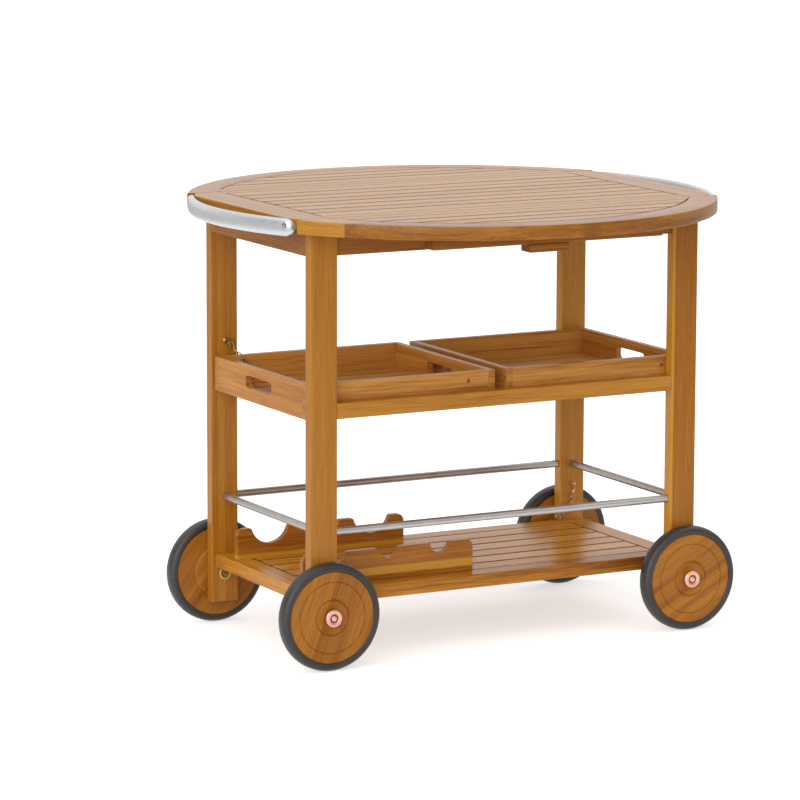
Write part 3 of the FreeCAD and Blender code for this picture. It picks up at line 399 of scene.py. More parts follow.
def acacia(name, look, staveWidth=None, plainTone=None):
    # plainTone is for nodes that keep their CAD shape and carry no attributes
    n, own, size, since = Nodes(name), plainTone is None, figureSize, figureFrom
    ink = {key: shade(*value) for key, value in look.items() if isinstance(value, tuple)}
    place = n.attribute("woodPos", "Vector") if own else n.objectPlace()
    tone = n.attribute("tone") if own else plainTone
    strength = n.attribute("figure") if own else None

    def weighed(value):
        return n.math("MULTIPLY", value, strength) if own else value

    if staveWidth:  # glued staves: each takes its own shade and its own place in the log
        stave = n.math("FLOOR", n.math("DIVIDE", n.part(place, 1), staveWidth))
        luck = n.add("TexWhiteNoise", {"W": stave}, noise_dimensions="1D")
        place = n.vector("ADD", place, n.vector("MULTIPLY", luck.outputs["Color"], size["staveShift"]))
        tone = n.blend(tone, luck.outputs["Value"], size["staveTone"])
    sway = n.vector("ADD", n.noise(place, size["sway"], 3.0, 0.55, "Color"), (-0.5, -0.5, -0.5))
    sway = n.vector("MULTIPLY", sway, size["swayReach"])
    log = n.vector("ADD", n.vector("MULTIPLY", place, size["ringStretch"]), sway)
    inputs = {"Vector": log, "Scale": waveRepeat / size["ring"], "Distortion": size["ringBend"],
              "Detail": 2.0}
    rings = n.add("TexWave", inputs, wave_type="RINGS", rings_direction="X", wave_profile="SIN")
    fibre = n.noise(place, size["fibre"], 3.0, 0.6)
    pores = n.noise(place, size["pore"])
    wave = n.range(rings.outputs["Fac"], 0.0, 1.0, -look["ringPull"] / 2, look["ringPull"] / 2)
    streak = n.noise(place, size["streak"], 4.0, 0.62)
    for texture, pull in ((streak, look["streakPull"]), (fibre, look["fibrePull"])):
        wave = n.math("ADD", wave, n.range(texture, *since["wave"], -pull, pull))
    middle = 0.5 - 0.5 * look["toneReach"]
    lift = (n.math("ADD", n.math("MULTIPLY", tone, look["toneReach"]), middle) if own
            else tone * look["toneReach"] + middle)
    colour = n.ramp(n.math("ADD", weighed(wave), lift),
                    [(0.0, ink["dark"]), (0.33, ink["brown"]), (0.62, ink["gold"]), (1.0, ink["pale"])])
    sap = n.range(n.noise(place, size["sap"], 1.0, 0.4), *since["sap"], 0.0, look["sapPull"])
    colour = n.mix(weighed(sap), colour, ink["sap"])
    heart = n.range(n.noise(place, size["heart"], 3.0, 0.6), *since["heart"], 0.0, look["heartPull"])
    colour = n.mix(weighed(heart), colour, ink["heart"])
    if own:  # a few small knots, then a band of sapwood whose edge follows the grain
        spot = n.vector("ADD", n.vector("MULTIPLY", place, size["knot"]),
                        n.vector("MULTIPLY", sway, size["knotSway"]))
        cells = n.add("TexVoronoi", {"Vector": spot, "Scale": 1.0}, feature="F1")
        picked = n.math("GREATER_THAN", n.part(cells.outputs["Color"], 0), 1 - size["knotShare"])
        knot = n.math("MULTIPLY", n.range(cells.outputs["Distance"], *since["knot"], 1.0, 0.0), picked)
        knot = n.math("MULTIPLY", knot, n.range(strength, *since["knotFigure"], 0.0, look["knotPull"]))
        colour = n.mix(knot, colour, ink["knot"])
        ripple = n.range(n.noise(place, size["ripple"]), *since["ripple"], *rippleReach)
        band = n.math("SUBTRACT", 1.0, n.math("ABSOLUTE", n.math("ADD", n.attribute("sapBand"), ripple)))
        colour = n.mix(n.range(band, *since["band"], 0.0, look["bandPull"]), colour, ink["sap"])
    colour = n.mix(n.range(pores, *since["pore"], 0.0, look["porePull"]), colour, ink["dark"])
    if own:
        colour = n.mix(n.math("MULTIPLY", n.attribute("endGrain"), look["endPull"]), colour, ink["endGrain"])
        # painted shade: faces marked by gapShade are darkened towards the gap colour, for the shade inside
        # the slits
        colour = n.mix(n.attribute("gapShade"), colour, ink["gap"])
    n.look(Base_Color=colour, Specular_IOR_Level=look["gloss"],
           Roughness=n.range(fibre, *since["rough"], *(look["rough"] + roughReach)))
    n.bump(n.math("ADD", fibre, n.math("MULTIPLY", pores, poreDepth)), 0.10, 0.0003)
    return n.material


topLook = dict(acaciaLook, brown=(158, 99, 27), gold=(178, 119, 35), pale=(200, 144, 53),
               sapPull=0.15, gloss=0.31)
# shelf wood: a paler palette, partly painted light making up for the shade that the top and trays cast on the
# shelf
shelfLook = dict(acaciaLook, brown=(170, 107, 31), gold=(196, 130, 42), pale=(220, 158, 64),
                 endPull=0.3, gloss=0.19)
# tray wood: a paler, less saturated palette, partly painted light for the trays' shaded insides
trayLook = dict(acaciaLook, dark=(128, 75, 28), brown=(162, 101, 40), gold=(183, 120, 50),
                pale=(206, 147, 70), heart=(96, 52, 20), sapPull=0.2, heartPull=0.85, endPull=0.3, rough=0.32)
# tray floor wood: a paler copy of the tray wood, painted light for the floors that lie in the shade of the
# top
floorLook = dict(trayLook, brown=(178, 116, 50), gold=(204, 140, 66), pale=(228, 170, 92), gloss=0.28)
acaciaWood = acacia("acaciaWood", acaciaLook)
topWood = acacia("topWood", topLook)
shelfWood = acacia("shelfWood", shelfLook)
trayWood = acacia("trayWood", trayLook)
floorWood = acacia("floorWood", floorLook)
wheelWood = acacia("wheelWood", dict(acaciaLook, sapPull=0.12), staveWidth=0.041)
hiddenWood = acacia("hiddenWood", acaciaLook, plainTone=0.42)
print("wood ready")


# metals: two colours that a brushed grain and broad patches mix; repeats per metre
metalLook = {
    "satinAluminium": {"low": (203, 204, 206), "high": (211, 212, 214), "brush": (120, 60, 500),
                       "rough": 0.31, "metallic": 0.74, "inside": 0.05},
    "brushedSteel": {"low": (182, 180, 178), "high": (198, 196, 193), "brush": (40, 40, 40), "rough": 0.44},
    "copperPlate": {"low": (224, 184, 104), "high": (232, 178, 168), "brush": (300, 300, 300), "patch": 60,
                    "patchShare": 0.85, "stops": (0.32, 0.46), "rough": 0.34, "bump": 0.03},
    "yellowZinc": {"low": (186, 146, 86), "high": (222, 184, 128), "rough": 0.26, "bump": 0.04},
    "paleBrass": {"low": (150, 132, 70), "high": (212, 196, 122), "rough": 0.22, "bump": 0.02},
    "roseBrass": {"low": (186, 132, 92), "high": (226, 178, 136), "rough": 0.24, "bump": 0.02},
    "screwCopper": {"low": (176, 120, 84), "high": (214, 158, 118), "rough": 0.28, "bump": 0.04},
}
# duller metals, with a coarser brush; the nuts' brass and the recess copper are darkened partly or wholly as
# painted shade
for name, low, high, rough, bump in (("nutShadeBrass", (92, 70, 36), (140, 114, 64), 0.40, 0.04),
                                     ("recessShadeCopper", (112, 62, 50), (150, 90, 76), 0.42, 0.04),
                                     ("darkSteel", (70, 82, 92), (108, 118, 128), 0.35, 0.04),
                                     ("greyZinc", (150, 150, 148), (180, 180, 178), 0.38, 0.05)):
    metalLook[name] = {"low": low, "high": high, "brush": (400, 400, 400), "rough": rough, "bump": bump}


def metal(name, look):
    n = Nodes(name)
    place = n.objectPlace()
    brush = n.noise(place, look.get("brush", (500, 500, 500)), 2.0, 0.6)
    cloud = n.noise(place, (look.get("patch", 9),) * 3)
    first, last = look.get("stops", (0.3, 0.7))
    n.look(Base_Color=n.ramp(n.blend(brush, cloud, look.get("patchShare", 0.4)),
                             [(first, shade(*look["low"])), (last, shade(*look["high"]))]),
           Metallic=look.get("metallic", 1.0),
           Roughness=n.range(brush, 0.3, 0.7, look["rough"] - 0.06, look["rough"] + 0.06))
    if "inside" in look:  # a dull inner face scatters more light than it mirrors
        n.look(Metallic=n.range(n.attribute("tone"), 0.5, 1.0, look["metallic"], look["inside"]))
    if "bump" in look:
        n.bump(brush, look["bump"], 0.0002)
    return n.material


metals = {name: metal(name, look) for name, look in metalLook.items()}

# tyre rubber: specks and worn patches between two greys
rubberLook = {"low": (36, 33, 31), "high": (54, 50, 48), "speck": (420,) * 3, "wear": (26,) * 3,
              "speckShare": 0.3, "rough": (0.36, 0.48), "gloss": 0.55, "bump": 0.10}


def rubber(name, look):
    n = Nodes(name)
    place = n.objectPlace()
    speck = n.noise(place, look["speck"], 3.0, 0.6)
    wear = n.noise(place, look["wear"], 3.0, 0.6)
    n.look(Base_Color=n.ramp(n.blend(wear, speck, look["speckShare"]),
                             [(0.3, shade(*look["low"])), (0.7, shade(*look["high"]))]),
           Roughness=n.range(wear, 0.3, 0.7, *look["rough"]), Specular_IOR_Level=look["gloss"])
    n.bump(speck, look["bump"], 0.0004)
    return n.material


tyreRubber = rubber("tyreRubber", rubberLook)
print("metals and rubber ready")


# round top: middle boards and slats, then the two leaves
topSizes = {
    "edgeSoft": 1.1, "endInner": 340.0, "chord": 403.0, "edgeRail": 26.0, "tongue": 9.0,
    "handleSeat": 437.75, "handleEnd": 186.0, "cornerRings": (0.035, 16), "middleRings": (0.05, 46),
    "endTones": (0.56, 0.64), "railTones": (0.68, 0.74),
    "tones": [0.72, 0.60, 0.78, 0.66, 0.54, 0.74, 0.64, 0.76],
}


def endBoard(s, half, z):
    # rounded box with more rings along it, whose outer face is cut back to the circle of the handle's seat
    t = topSizes
    low, high = span(s, t["endInner"], t["chord"])
    grid = boardGrid((low, -half, z[0]), (high, half, z[1]), 1, t["edgeSoft"])["points"].reshape(8, -1, 3)
    near = np.linspace(0, *t["cornerRings"])
    share, count = t["middleRings"]
    run = np.concatenate([near, np.linspace(share, 1 - share, count), 1 - near[::-1]])[:, None, None]
    rings = np.concatenate([grid[:3], grid[3] + (grid[4] - grid[3]) * run, grid[5:]])
    along = np.abs(rings[..., 1])
    limit = np.sqrt(t["handleSeat"] ** 2 - along ** 2)
    out = np.minimum(s * rings[..., 0], limit)
    rings[..., 0] = s * out
    # painted shade: the inner face, and the outer face in the dark recess behind the handle's end, are marked
    # to be darkened
    inside = np.clip(1 - (out - t["endInner"]) / t["edgeSoft"], 0, 1)
    behind = (along > t["handleEnd"]) & (out > limit - 0.1) & (rings[..., 2] < z[1] - t["edgeSoft"])
    closing = [1, 0.6, 0.1]
    endness = np.concatenate([closing, np.zeros(len(run)), closing[::-1]])[:, None] + 0 * along
    size = along.shape
    corner = np.arange(4) * size[1] // 4
    caps = [corner[::-1].tolist(), (corner + (size[0] - 1) * size[1]).tolist()]
    return surface(rings, gridFaces(*size) + caps, rings[..., [1, 0, 2]], end=endness,
                   side=np.maximum(inside, behind))


def topMiddle():
    t, z = topSizes, (cart["topUnder"], cart["topZ"])
    half = cart["seam"] - cart["seamGap"]
    field, reach = half - t["edgeRail"], t["endInner"] - cart["slatSlit"]
    # slats, rails and end boards are darkened by painted shade on their faces towards the slits
    slats = slatRow((-reach, reach), z, field, t["tones"], 20, t["edgeSoft"], cart["gapShade"], t["tongue"])
    woodPiece("topSlatsWood", slats, topWood, "top_centre_slats")
    rails = boardPair(0, field, half, t["endInner"], z, t["edgeSoft"])
    rails = tintedAll(rails, t["railTones"], (39, 41), gap=cart["gapShade"])
    woodPiece("topRailsWood", rails, topWood, "top_edge_rails")
    ends = tintedAll([endBoard(s, half, z) for s in sides], t["endTones"], (49, 51), gap=cart["slitShade"])
    woodPiece("topEndBoardsWood", ends, topWood, "top_end_boards")


leafSizes = {
    "railWidth": 28.0, "edgeSoft": 1.1, "rimSoft": 1.3, "rimSteps": 90, "glueLine": 2e-5, "rimFigure": 0.8,
    "tongue": 4.0, "leastHalf": 6.0, "endPoints": 24, "rimSmooth": 28.0,
    "joint": 4.0, "jointReach": (26.0, -10.0), "jointDepth": 0.4, "slitShadeFade": (190.0, 100.0, 0.1),
    "segments": {"front": [0, 0.09, 0.394, 0.497, 0.65, 0.82, 1.0], "back": [0, 0.2, 0.42, 0.6, 0.8, 1.0]},
    "rimTones": {"front": [0.70, 0.22, 0.32, 0.20, 0.38, 0.42], "back": [0.5, 0.4, 0.58, 0.44, 0.52]},
    "slatTones": {"front": [0.66, 0.76, 0.62, 0.72], "back": [0.71, 0.58, 0.76, 0.66]},
    "railTones": {"front": 0.70, "back": 0.64},
    "bars": [  # piece, node, near and far side, half length, height, tone, seed
        ("crossBar", "leaf_cross_bar", 303.0, 333.0, 217.0, (703.3, 726.3), 0.40, 170),
        ("fingerBlock", "leaf_finger_block", 303.0, 334.0, 37.5, (689.3, 703.3), 0.36, 175)],
    "barSoft": 2.0,
}


def leafRim(name, side, start, z):
    # curved boards end to end, listed from the left end of the rim
    t, inner, outer = leafSizes, cart["rimInner"], cart["topRadius"]
    section = sectionLoop((inner, z[0]), (outer, z[1]), t["rimSoft"])
    edges, rim = 1 - np.array(t["segments"][name]), []
    for i, tone in enumerate(t["rimTones"][name]):
        high, low = edges[i:i + 2]
        steps = max(6, int((high - low) * t["rimSteps"]))
        board = arcBoard(section, start, low + t["glueLine"], high - t["glueLine"], steps, side)
        x, y, _ = board["points"].T
        away = np.hypot(x, y) - inner
        # the rim's inner face is marked for painted shade in the slit by the slats
        board["side"] = np.clip(1 - away / t["rimSoft"], 0, 1)
        if side > 0:  # the painted slit shade on the far rim fades towards its middle
            first, reach, least = t["slitShadeFade"]
            board["side"] *= np.clip((np.abs(x) - first) / reach, least, 1)
        else:  # end grain shows on both sides of one joint, on the outer face
            past = (x - t["joint"])[:, None] / t["jointReach"]
            face = away > outer - inner - t["jointDepth"]
            board["end"] = np.clip(1 - past.max(1), 0, 1) ** 0.5 * face
        rim.append(tinted(board, tone, 100 + 10 * side + i, t["rimFigure"], gap=cart["slitShade"]))
    return rim


def leaf(name, side):
    # a curved rim, a straight rail along the hinge and slats whose ends follow the rim
    t, title, body = leafSizes, name.title(), f"leaf_{name}"
    z, inner = (cart["topUnder"], cart["topZ"]), cart["rimInner"]
    start = cart["seam"] + cart["seamGap"]
    field = start + t["railWidth"]
    rim = leafRim(name, side, start, z)
    woodPiece(f"leafRim{title}Wood", rim, topWood, f"leaf_rim_{name}", body, t["rimSmooth"])

    def strip(near, far, radius, soft, zLow, zHigh):
        low, high = span(side, near, far)
        return boardGrid((-1, low, zLow), (1, high, zHigh), 0, soft, extra=t["endPoints"],
                         halfLength=lambda y: np.sqrt(np.maximum(radius ** 2 - y ** 2, t["leastHalf"] ** 2)))

    # the rail and slats take painted shade on their faces towards the slits
    rail = strip(start, field, inner, t["edgeSoft"], *z)
    tinted(rail, t["railTones"][name], 130 + side, gap=cart["gapShade"])
    woodPiece(f"leafRail{title}Wood", [rail], topWood, f"leaf_hinge_rail_{name}", body)
    tones, slats = t["slatTones"][name], []
    pitch = (inner - field) / len(tones)
    flank, face = cart["tongueInset"]
    for i, tone in enumerate(tones):
        near = field + i * pitch + cart["slatGap"] / 2
        far = near + pitch - cart["slatGap"]
        seed = 140 + 10 * side + i
        slat = strip(near, far, inner - cart["slatSlit"], t["edgeSoft"], *z)
        thin = strip(near + flank, far - flank, inner + t["tongue"], cart["tongueSoft"],
                     z[0] + face, z[1] - face)
        slats += [tinted(slat, tone, seed, gap=cart["gapShade"]), tongue(thin, tone, seed)]
    woodPiece(f"leafSlats{title}Wood", slats, topWood, f"leaf_slats_{name}", body)
    for piece, node, near, far, half, (zLow, zHigh), tone, seed in t["bars"]:
        low, high = span(side, near, far)
        bar = tinted(boardGrid((-half, low, zLow), (half, high, zHigh), 0, t["barSoft"]), tone, seed + side)
        woodPiece(f"{piece}{title}Wood", [bar], acaciaWood, f"{node}_{name}", body)


topMiddle()
leaf("front", -1)
leaf("back", 1)
print("top ready")


# metal handles: an oval bar bent to the top's circle, its ends rounded over, with a sunk screw near each end
handleSizes = {
    "depth": 13.0, "height": 29.0, "outer": 8.0, "inner": 4.5, "lip": 2.0, "turn": 14.5, "oval": 0.8,
    "halfSpan": {"left": 192.6, "right": 190.8}, "offset": {"left": 1.8, "right": 0.0},
    "screwInset": 13.5, "screwRise": 4.0,
    "screw": [(4.2, -0.7), (3.8, 0.15), (3.4, 0.2), (2.9, -0.15), (1.9, -0.2), (1.5, -1.3), (0.0, -1.4)],
}


def handle(name, side):
    # an oval section, a quarter circle behind and a half oval in front, whose height and depth shrink
    # over the last stretch of the bar as a half circle does
    h = handleSizes
    half, inner = h["height"] / 2, cart["topRadius"] - h["depth"]
    bend = np.linspace(0, quarter, 10)
    back = np.stack([h["inner"] * (1 - np.cos(bend)), half - h["inner"] * (1 - np.sin(bend))], 1)
    over = np.stack([h["depth"] - h["outer"] * (1 - np.sin(bend) ** h["oval"]),
                     half * np.cos(bend) ** h["oval"]], 1)
    upper = np.concatenate([back, over[:-1]])
    out, up = np.concatenate([upper, over[-1:], (upper * (1, -1))[::-1]]).T
    ahead = h["turn"] * (1 - np.cos(np.linspace(0, quarter, 18)))  # distance from the end
    reach = np.arcsin(h["halfSpan"][name] / inner) * inner
    plain = reach - h["turn"]
    run = np.concatenate([-reach + ahead, np.linspace(-plain, plain, 60)[1:-1], (reach - ahead)[::-1]])
    left = np.clip((reach - np.abs(run)) / h["turn"], 0, 1)
    swell = np.sqrt(1 - (1 - left) ** 2)[:, None]
    depth = np.minimum(out, h["lip"]) + np.maximum(out - h["lip"], 0) * swell ** h["oval"]
    radius, angle = inner + depth, ((run + h["offset"][name]) / inner)[:, None]
    height = cart["topZ"] - half + up * swell
    points = np.stack([side * radius * np.cos(angle), radius * np.sin(angle), height], -1)
    inside = 1 - 0.5 * np.clip(depth / h["inner"], 0, 1) ** 4  # marks the face towards the board
    bar = surface(points, gridFaces(*height.shape), points, tone=inside)
    title, slot = name.title(), "aluminium"
    makePiece(f"handle{title}Metal", [bar], metals["satinAluminium"], "frame", [f"handle_{name}"], 70)
    screws = []
    for end in sides:
        turn = (end * (reach - h["screwInset"]) + h["offset"][name]) / inner
        centre = (0, cart["topRadius"], cart["topZ"] - half + h["screwRise"])
        head = lathe(h["screw"], centre, 1, 36, closed=False)
        x, y, z = head["points"].T
        c, s = side * np.cos(turn), np.sin(turn)
        head["points"] = np.stack([y * c - x * s, y * s + x * c, z], 1)
        screws.append(head)
    makePiece(f"handleScrews{title}", screws, metals["darkSteel"], "frame", smoothAngle=40)


handle("left", -1)
handle("right", 1)
print("handles ready")


# frame: legs, aprons and rails
frameSizes = {
    "legSoft": 1.2, "legFigure": 0.6,
    # the back right leg's tone is lifted to pale as painted light, for the shade the top and trays cast on
    # it; the front right leg's is lowered as painted shade, for light that falls off towards the right
    "legs": {"front_left": (0.75, None), "front_right": (0.50, (-22.5, 3.5)),  # tone and band of sapwood
             "back_left": (0.70, None), "back_right": (1.0, (-24.5, 2.5))},
    "pairs": [  # piece, node; axis, near and far side, half length, height, softness; tones, seeds, figure
        ("apronsLongWood", "aprons_long", (0, cart["legInY"], 192.5, cart["legInX"], (685.0, 726.3), 1.0),
         (0.42, 0.46), (210, 211), 1.0),
        ("apronsEndWood", "aprons_end", (1, 350.0, 370.0, cart["legInY"], (685.0, 726.3), 1.0),
         (0.40, 0.44), (214, 215), 1.0),
        ("trayRailsWood", "tray_rails",
         (0, cart["legInY"], cart["legOutY"], cart["legInX"], (415.0, 441.0), 1.2),
         (1.0, 0.60), (220, 221), 1.4)],
}


def boardPairs(rows):
    for piece, node, sizes, tones, seeds, figure in rows:
        woodPiece(piece, tintedAll(boardPair(*sizes), tones, seeds, figure), acaciaWood, node)


def legs():
    for i, (key, (tone, sap)) in enumerate(frameSizes["legs"].items()):
        low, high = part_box(f"leg_{key}")
        board = boardGrid(np.array(low) / mm, np.array(high) / mm, 2, frameSizes["legSoft"])
        tinted(board, tone, 200 + i, frameSizes["legFigure"], sap)
        title = key.title().replace("_", "")
        woodPiece(f"leg{title}Wood", [board], acaciaWood, f"leg_{key}")


legs()
boardPairs(frameSizes["pairs"])
print("frame ready")


# gallery rods: half lengths along X and Y, and how far each pair lies from the middle
rodSizes = {"radius": 6.4, "z": 226.0, "halfX": 329.0, "halfY": 185.5, "awayX": 345.5, "awayY": 187.5}


def rods():
    r, parts = rodSizes, []
    for s in sides:
        longRod = [(x, s * r["awayY"], r["z"]) for x in (-r["halfX"], 0, r["halfX"])]
        shortRod = [(s * r["awayX"], y, r["z"]) for y in (-r["halfY"], 0, r["halfY"])]
        parts += [tube(longRod, r["radius"], (0, 0, 1), 40), tube(shortRod, r["radius"], (0, 0, 1), 28)]
    makePiece("galleryRodsMetal", parts, metals["brushedSteel"], "frame", ["gallery_rods"], 40)


rods()
print("rods ready")


# trays: walls with box-joint fingers, gripped end boards, slatted floor
traySizes = {
    "outer": 366.0, "inner": 11.0, "side": 173.0, "wall": 12.0, "low": 413.0, "high": 472.0, "soft": 0.8,
    "fingers": 5, "fingerSoft": 0.5, "glueLine": 0.05, "floor": (421.0, 430.0),
    "wallFigure": 1.7, "endFigure": 1.2,
    "grip": (98.0, 21.5, 9.0), "gripY": {"left": (5.0, -3.0), "right": (-3.0, -4.0)}, "gripZ": 445.5,
    "hole": 3.2, "holeLip": 0.5, "holeInset": (50.0, 52.0), "holeZ": 456.0,
    "wallTones": {"left": (0.66, 1.02), "right": (0.70, 1.02)},
    "endTones": {"left": (0.60, 0.76), "right": (0.70, 0.74)},
    "floorTones": [0.90, 0.98, 0.84, 0.96, 0.88, 1.0, 0.86],
}


def roundedRay(angle, halfA, halfB, corner):
    # distance from the middle of a rounded rectangle to its edge along each angle
    c, s = np.abs(np.cos(angle)), np.abs(np.sin(angle))
    flat = np.minimum(halfA / np.maximum(c, tiny), halfB / np.maximum(s, tiny))
    a, b = halfA - corner, halfB - corner
    dot = c * a + s * b
    bent = dot + np.sqrt(np.maximum(dot ** 2 - (a * a + b * b - corner ** 2), 0))
    return np.where((flat * c > a) & (flat * s > b), bent, flat)


def holedBoard(axis, low, high, faces, hub, hole, lip, angles):
    # board along X or Y with a rounded hole, as rings of points about the hole: up its lip, over one face to
    # the board's rim and back over the other; low, high and hub are (along, up), lip is (out, sunk) per ring
    (aLow, zLow), (aHigh, zHigh) = np.subtract(low, hub), np.subtract(high, hub)
    corners = np.arctan2([zLow, zLow, zHigh, zHigh], [aLow, aHigh, aLow, aHigh])
    angle = np.unique(np.round(np.concatenate([angles, corners]), 6))
    c, s = np.cos(angle), np.sin(angle)
    outer = np.minimum(np.where(c > 0, aHigh, -aLow) / np.maximum(np.abs(c), tiny),
                       np.where(s > 0, zHigh, -zLow) / np.maximum(np.abs(s), tiny))
    rim = roll * traySizes["soft"]
    rays = np.concatenate([roundedRay(angle, *hole) + lip[:, :1], outer - rim[:, :1]])
    sink = np.concatenate([lip[:, 1:], rim[:, 1:]])
    rays = np.concatenate([rays, rays[::-1]])
    along, up = hub[0] + rays * c, hub[1] + rays * s
    deep = np.concatenate([faces[0] + sink, (faces[1] - sink)[::-1]]) + 0 * rays
    points = np.stack([deep, along, up] if axis else [along, deep, up], -1)
    return surface(points, gridFaces(*rays.shape, True), np.stack([along, up, deep], -1))


def fingers(parity, low, high, grainAxis, tone, seed):
    # the fingers of one board at a tray corner, their end grain outwards
    t, blocks = traySizes, []
    step = (t["high"] - t["low"]) / t["fingers"]
    for i in range(parity, t["fingers"], 2):
        z = t["low"] + i * step
        zLow, zHigh = z + t["glueLine"], z + step - t["glueLine"]
        block = boardGrid((*low, zLow), (*high, zHigh), grainAxis, t["fingerSoft"], steps=2)
        blocks.append(tinted(block, tone, seed))
    return blocks


def gripAngles(length, height, corner, even=120, bends=9):
    # even turns about the grip's middle, and the turns at which its corners bend
    arc = np.linspace(0, quarter, bends)
    bend = np.arctan2(height / 2 - corner * (1 - np.sin(arc)), length / 2 - corner * (1 - np.cos(arc)))
    turns = np.linspace(-np.pi, np.pi, even, endpoint=False)
    return np.concatenate([turns, bend, -bend, np.pi - bend, bend - np.pi])


def tray(name, across):
    t, title, body = traySizes, name.title(), f"tray_{name}"
    xLow, xHigh = span(across, t["inner"], t["outer"])
    wallX, inside = (xLow + t["wall"], xHigh - t["wall"]), t["side"] - t["wall"]
    endBoards = [(x, t["endTones"][name][k], 320 + k + 4 * across) for k, x in enumerate((xLow, wallX[1]))]
    walls, ends = [], []
    lip, even = np.array([(0, 1), (1, 0)]) * t["holeLip"], np.linspace(-np.pi, np.pi, 40, endpoint=False)
    for i, side in enumerate(sides):
        tone, seed = t["wallTones"][name][i], 374 + 7 * i + 4 * across
        y = span(side, inside, t["side"])
        hub = (xHigh - t["holeInset"][0] if side < 0 else xLow + t["holeInset"][1], t["holeZ"])
        wall = holedBoard(0, (wallX[0], t["low"]), (wallX[1], t["high"]), y, hub, (t["hole"],) * 3, lip, even)
        walls.append(tinted(wall, tone, seed, t["wallFigure"]))
        for x, endTone, endSeed in endBoards:
            low, high = (x, y[0]), (x + t["wall"], y[1])
            walls += fingers(1, low, high, 0, tone, seed)
            ends += fingers(0, low, high, 1, endTone, endSeed)
    length, height, corner = t["grip"]
    turns, lip = gripAngles(length, height, corner), roll[::-1] * t["soft"]
    for (x, tone, seed), yMid in zip(endBoards, t["gripY"][name]):
        board = holedBoard(1, (-inside, t["low"]), (inside, t["high"]), (x, x + t["wall"]),
                           (yMid, t["gripZ"]), (length / 2, height / 2, corner), lip, turns)
        ends.append(tinted(board, tone, seed, t["endFigure"]))
    woodPiece(f"tray{title}WallsWood", walls, trayWood, f"tray_{name}_walls", body)
    woodPiece(f"tray{title}EndsWood", ends, trayWood, f"tray_{name}_ends", body)
    seed = 330 + 10 * across
    # the floor slats take painted shade on their sides
    slats = slatRow(wallX, t["floor"], inside, t["floorTones"], seed, t["soft"], cart["gapShade"])
    woodPiece(f"tray{title}FloorWood", slats, floorWood, f"tray_{name}_floor", body)


tray("left", -1)
tray("right", 1)
print("trays ready")


# shelf: long rails, whose tones are given for both ends, end boards, slats and battens
shelfSizes = {
    "halfX": 364.0, "railWidth": 36.5, "endWidth": 39.0, "soft": 1.2, "tongue": 8.5, "railFigure": 1.2,
    "railTones": ((0.68, 0.08), (0.70, 0.70)), "endTones": (0.62, 0.66),
    "tones": [0.66, 1.0, 0.74, 0.90, 0.78, 0.86],
    "pairs": [("shelfBattensWood", "shelf_battens", (1, 126.0, 160.0, 120.5, (95.0, cart["shelfLow"]), 1.2),
               (0.4, 0.4), (420, 421), 1.0)],
}


def shelf():
    # dark is how strongly shade is painted on the faces towards the slits
    t, z, dark = shelfSizes, (cart["shelfLow"], cart["shelfTop"]), cart["slitShade"]
    field, inner = cart["legInY"] - t["railWidth"], t["halfX"] - t["endWidth"]
    rails = boardPair(0, field, cart["legInY"], t["halfX"], z, t["soft"])
    for i, board in enumerate(rails):
        tinted(innerFace(board, 1, field, t["soft"]), 0.5, 400 + i, t["railFigure"], gap=dark)
        board["tone"] = np.interp(board["points"][:, 0], (-t["halfX"], t["halfX"]), t["railTones"][i])
    woodPiece("shelfRailsWood", rails, shelfWood, "shelf_rails")
    ends = [innerFace(b, 0, inner, t["soft"]) for b in boardPair(1, inner, t["halfX"], field, z, t["soft"])]
    woodPiece("shelfEndsWood", tintedAll(ends, t["endTones"], (404, 405), gap=dark), shelfWood, "shelf_ends")
    x = (-inner + cart["slatSlit"], inner - cart["slatSlit"])
    slats = slatRow(x, z, field, t["tones"], 410, t["soft"], dark, t["tongue"])
    woodPiece("shelfSlatsWood", slats, shelfWood, "shelf_slats")
    boardPairs(t["pairs"])


# bottle rack boards: three hollows with rounded shoulders
rackSizes = {
    "left": -356.0, "right": -34.0, "low": cart["shelfTop"], "high": 179.0, "thick": 12.0, "corner": 12.0,
    "foot": 1.0, "soft": 0.8, "centre": -195.0, "spacing": 98.0, "shoulder": 5.0, "figure": 1.2,
    "back": {"y": 112.0, "radius": 36.4, "depth": 28.5, "shift": 2.5, "tone": 0.50, "sap": (129.0, 5.5)},
    "front": {"y": -141.0, "radius": 18.7, "depth": 17.0, "shift": 0.0, "tone": 0.42, "sap": (141.5, 7.5)},
}


def hollow(x, radius, depth):
    # from the flat top down a shoulder arc, round the hollow and up the other shoulder
    high, shoulder = rackSizes["high"], rackSizes["shoulder"]
    hub = high - depth + radius
    rise = hub - (high - shoulder)
    run = np.sqrt((radius + shoulder) ** 2 - rise ** 2)
    turn = np.arctan2(run, rise)
    down = np.linspace(0, turn, 10)
    left = np.stack([x - run + shoulder * np.sin(down), high - shoulder + shoulder * np.cos(down)], 1)
    sweep = np.linspace(-turn, turn, 36)[1:-1]
    bowl = np.stack([x + radius * np.sin(sweep), hub - radius * np.cos(sweep)], 1)
    return np.concatenate([left, bowl, (left * (-1, 1) + (2 * x, 0))[::-1]])


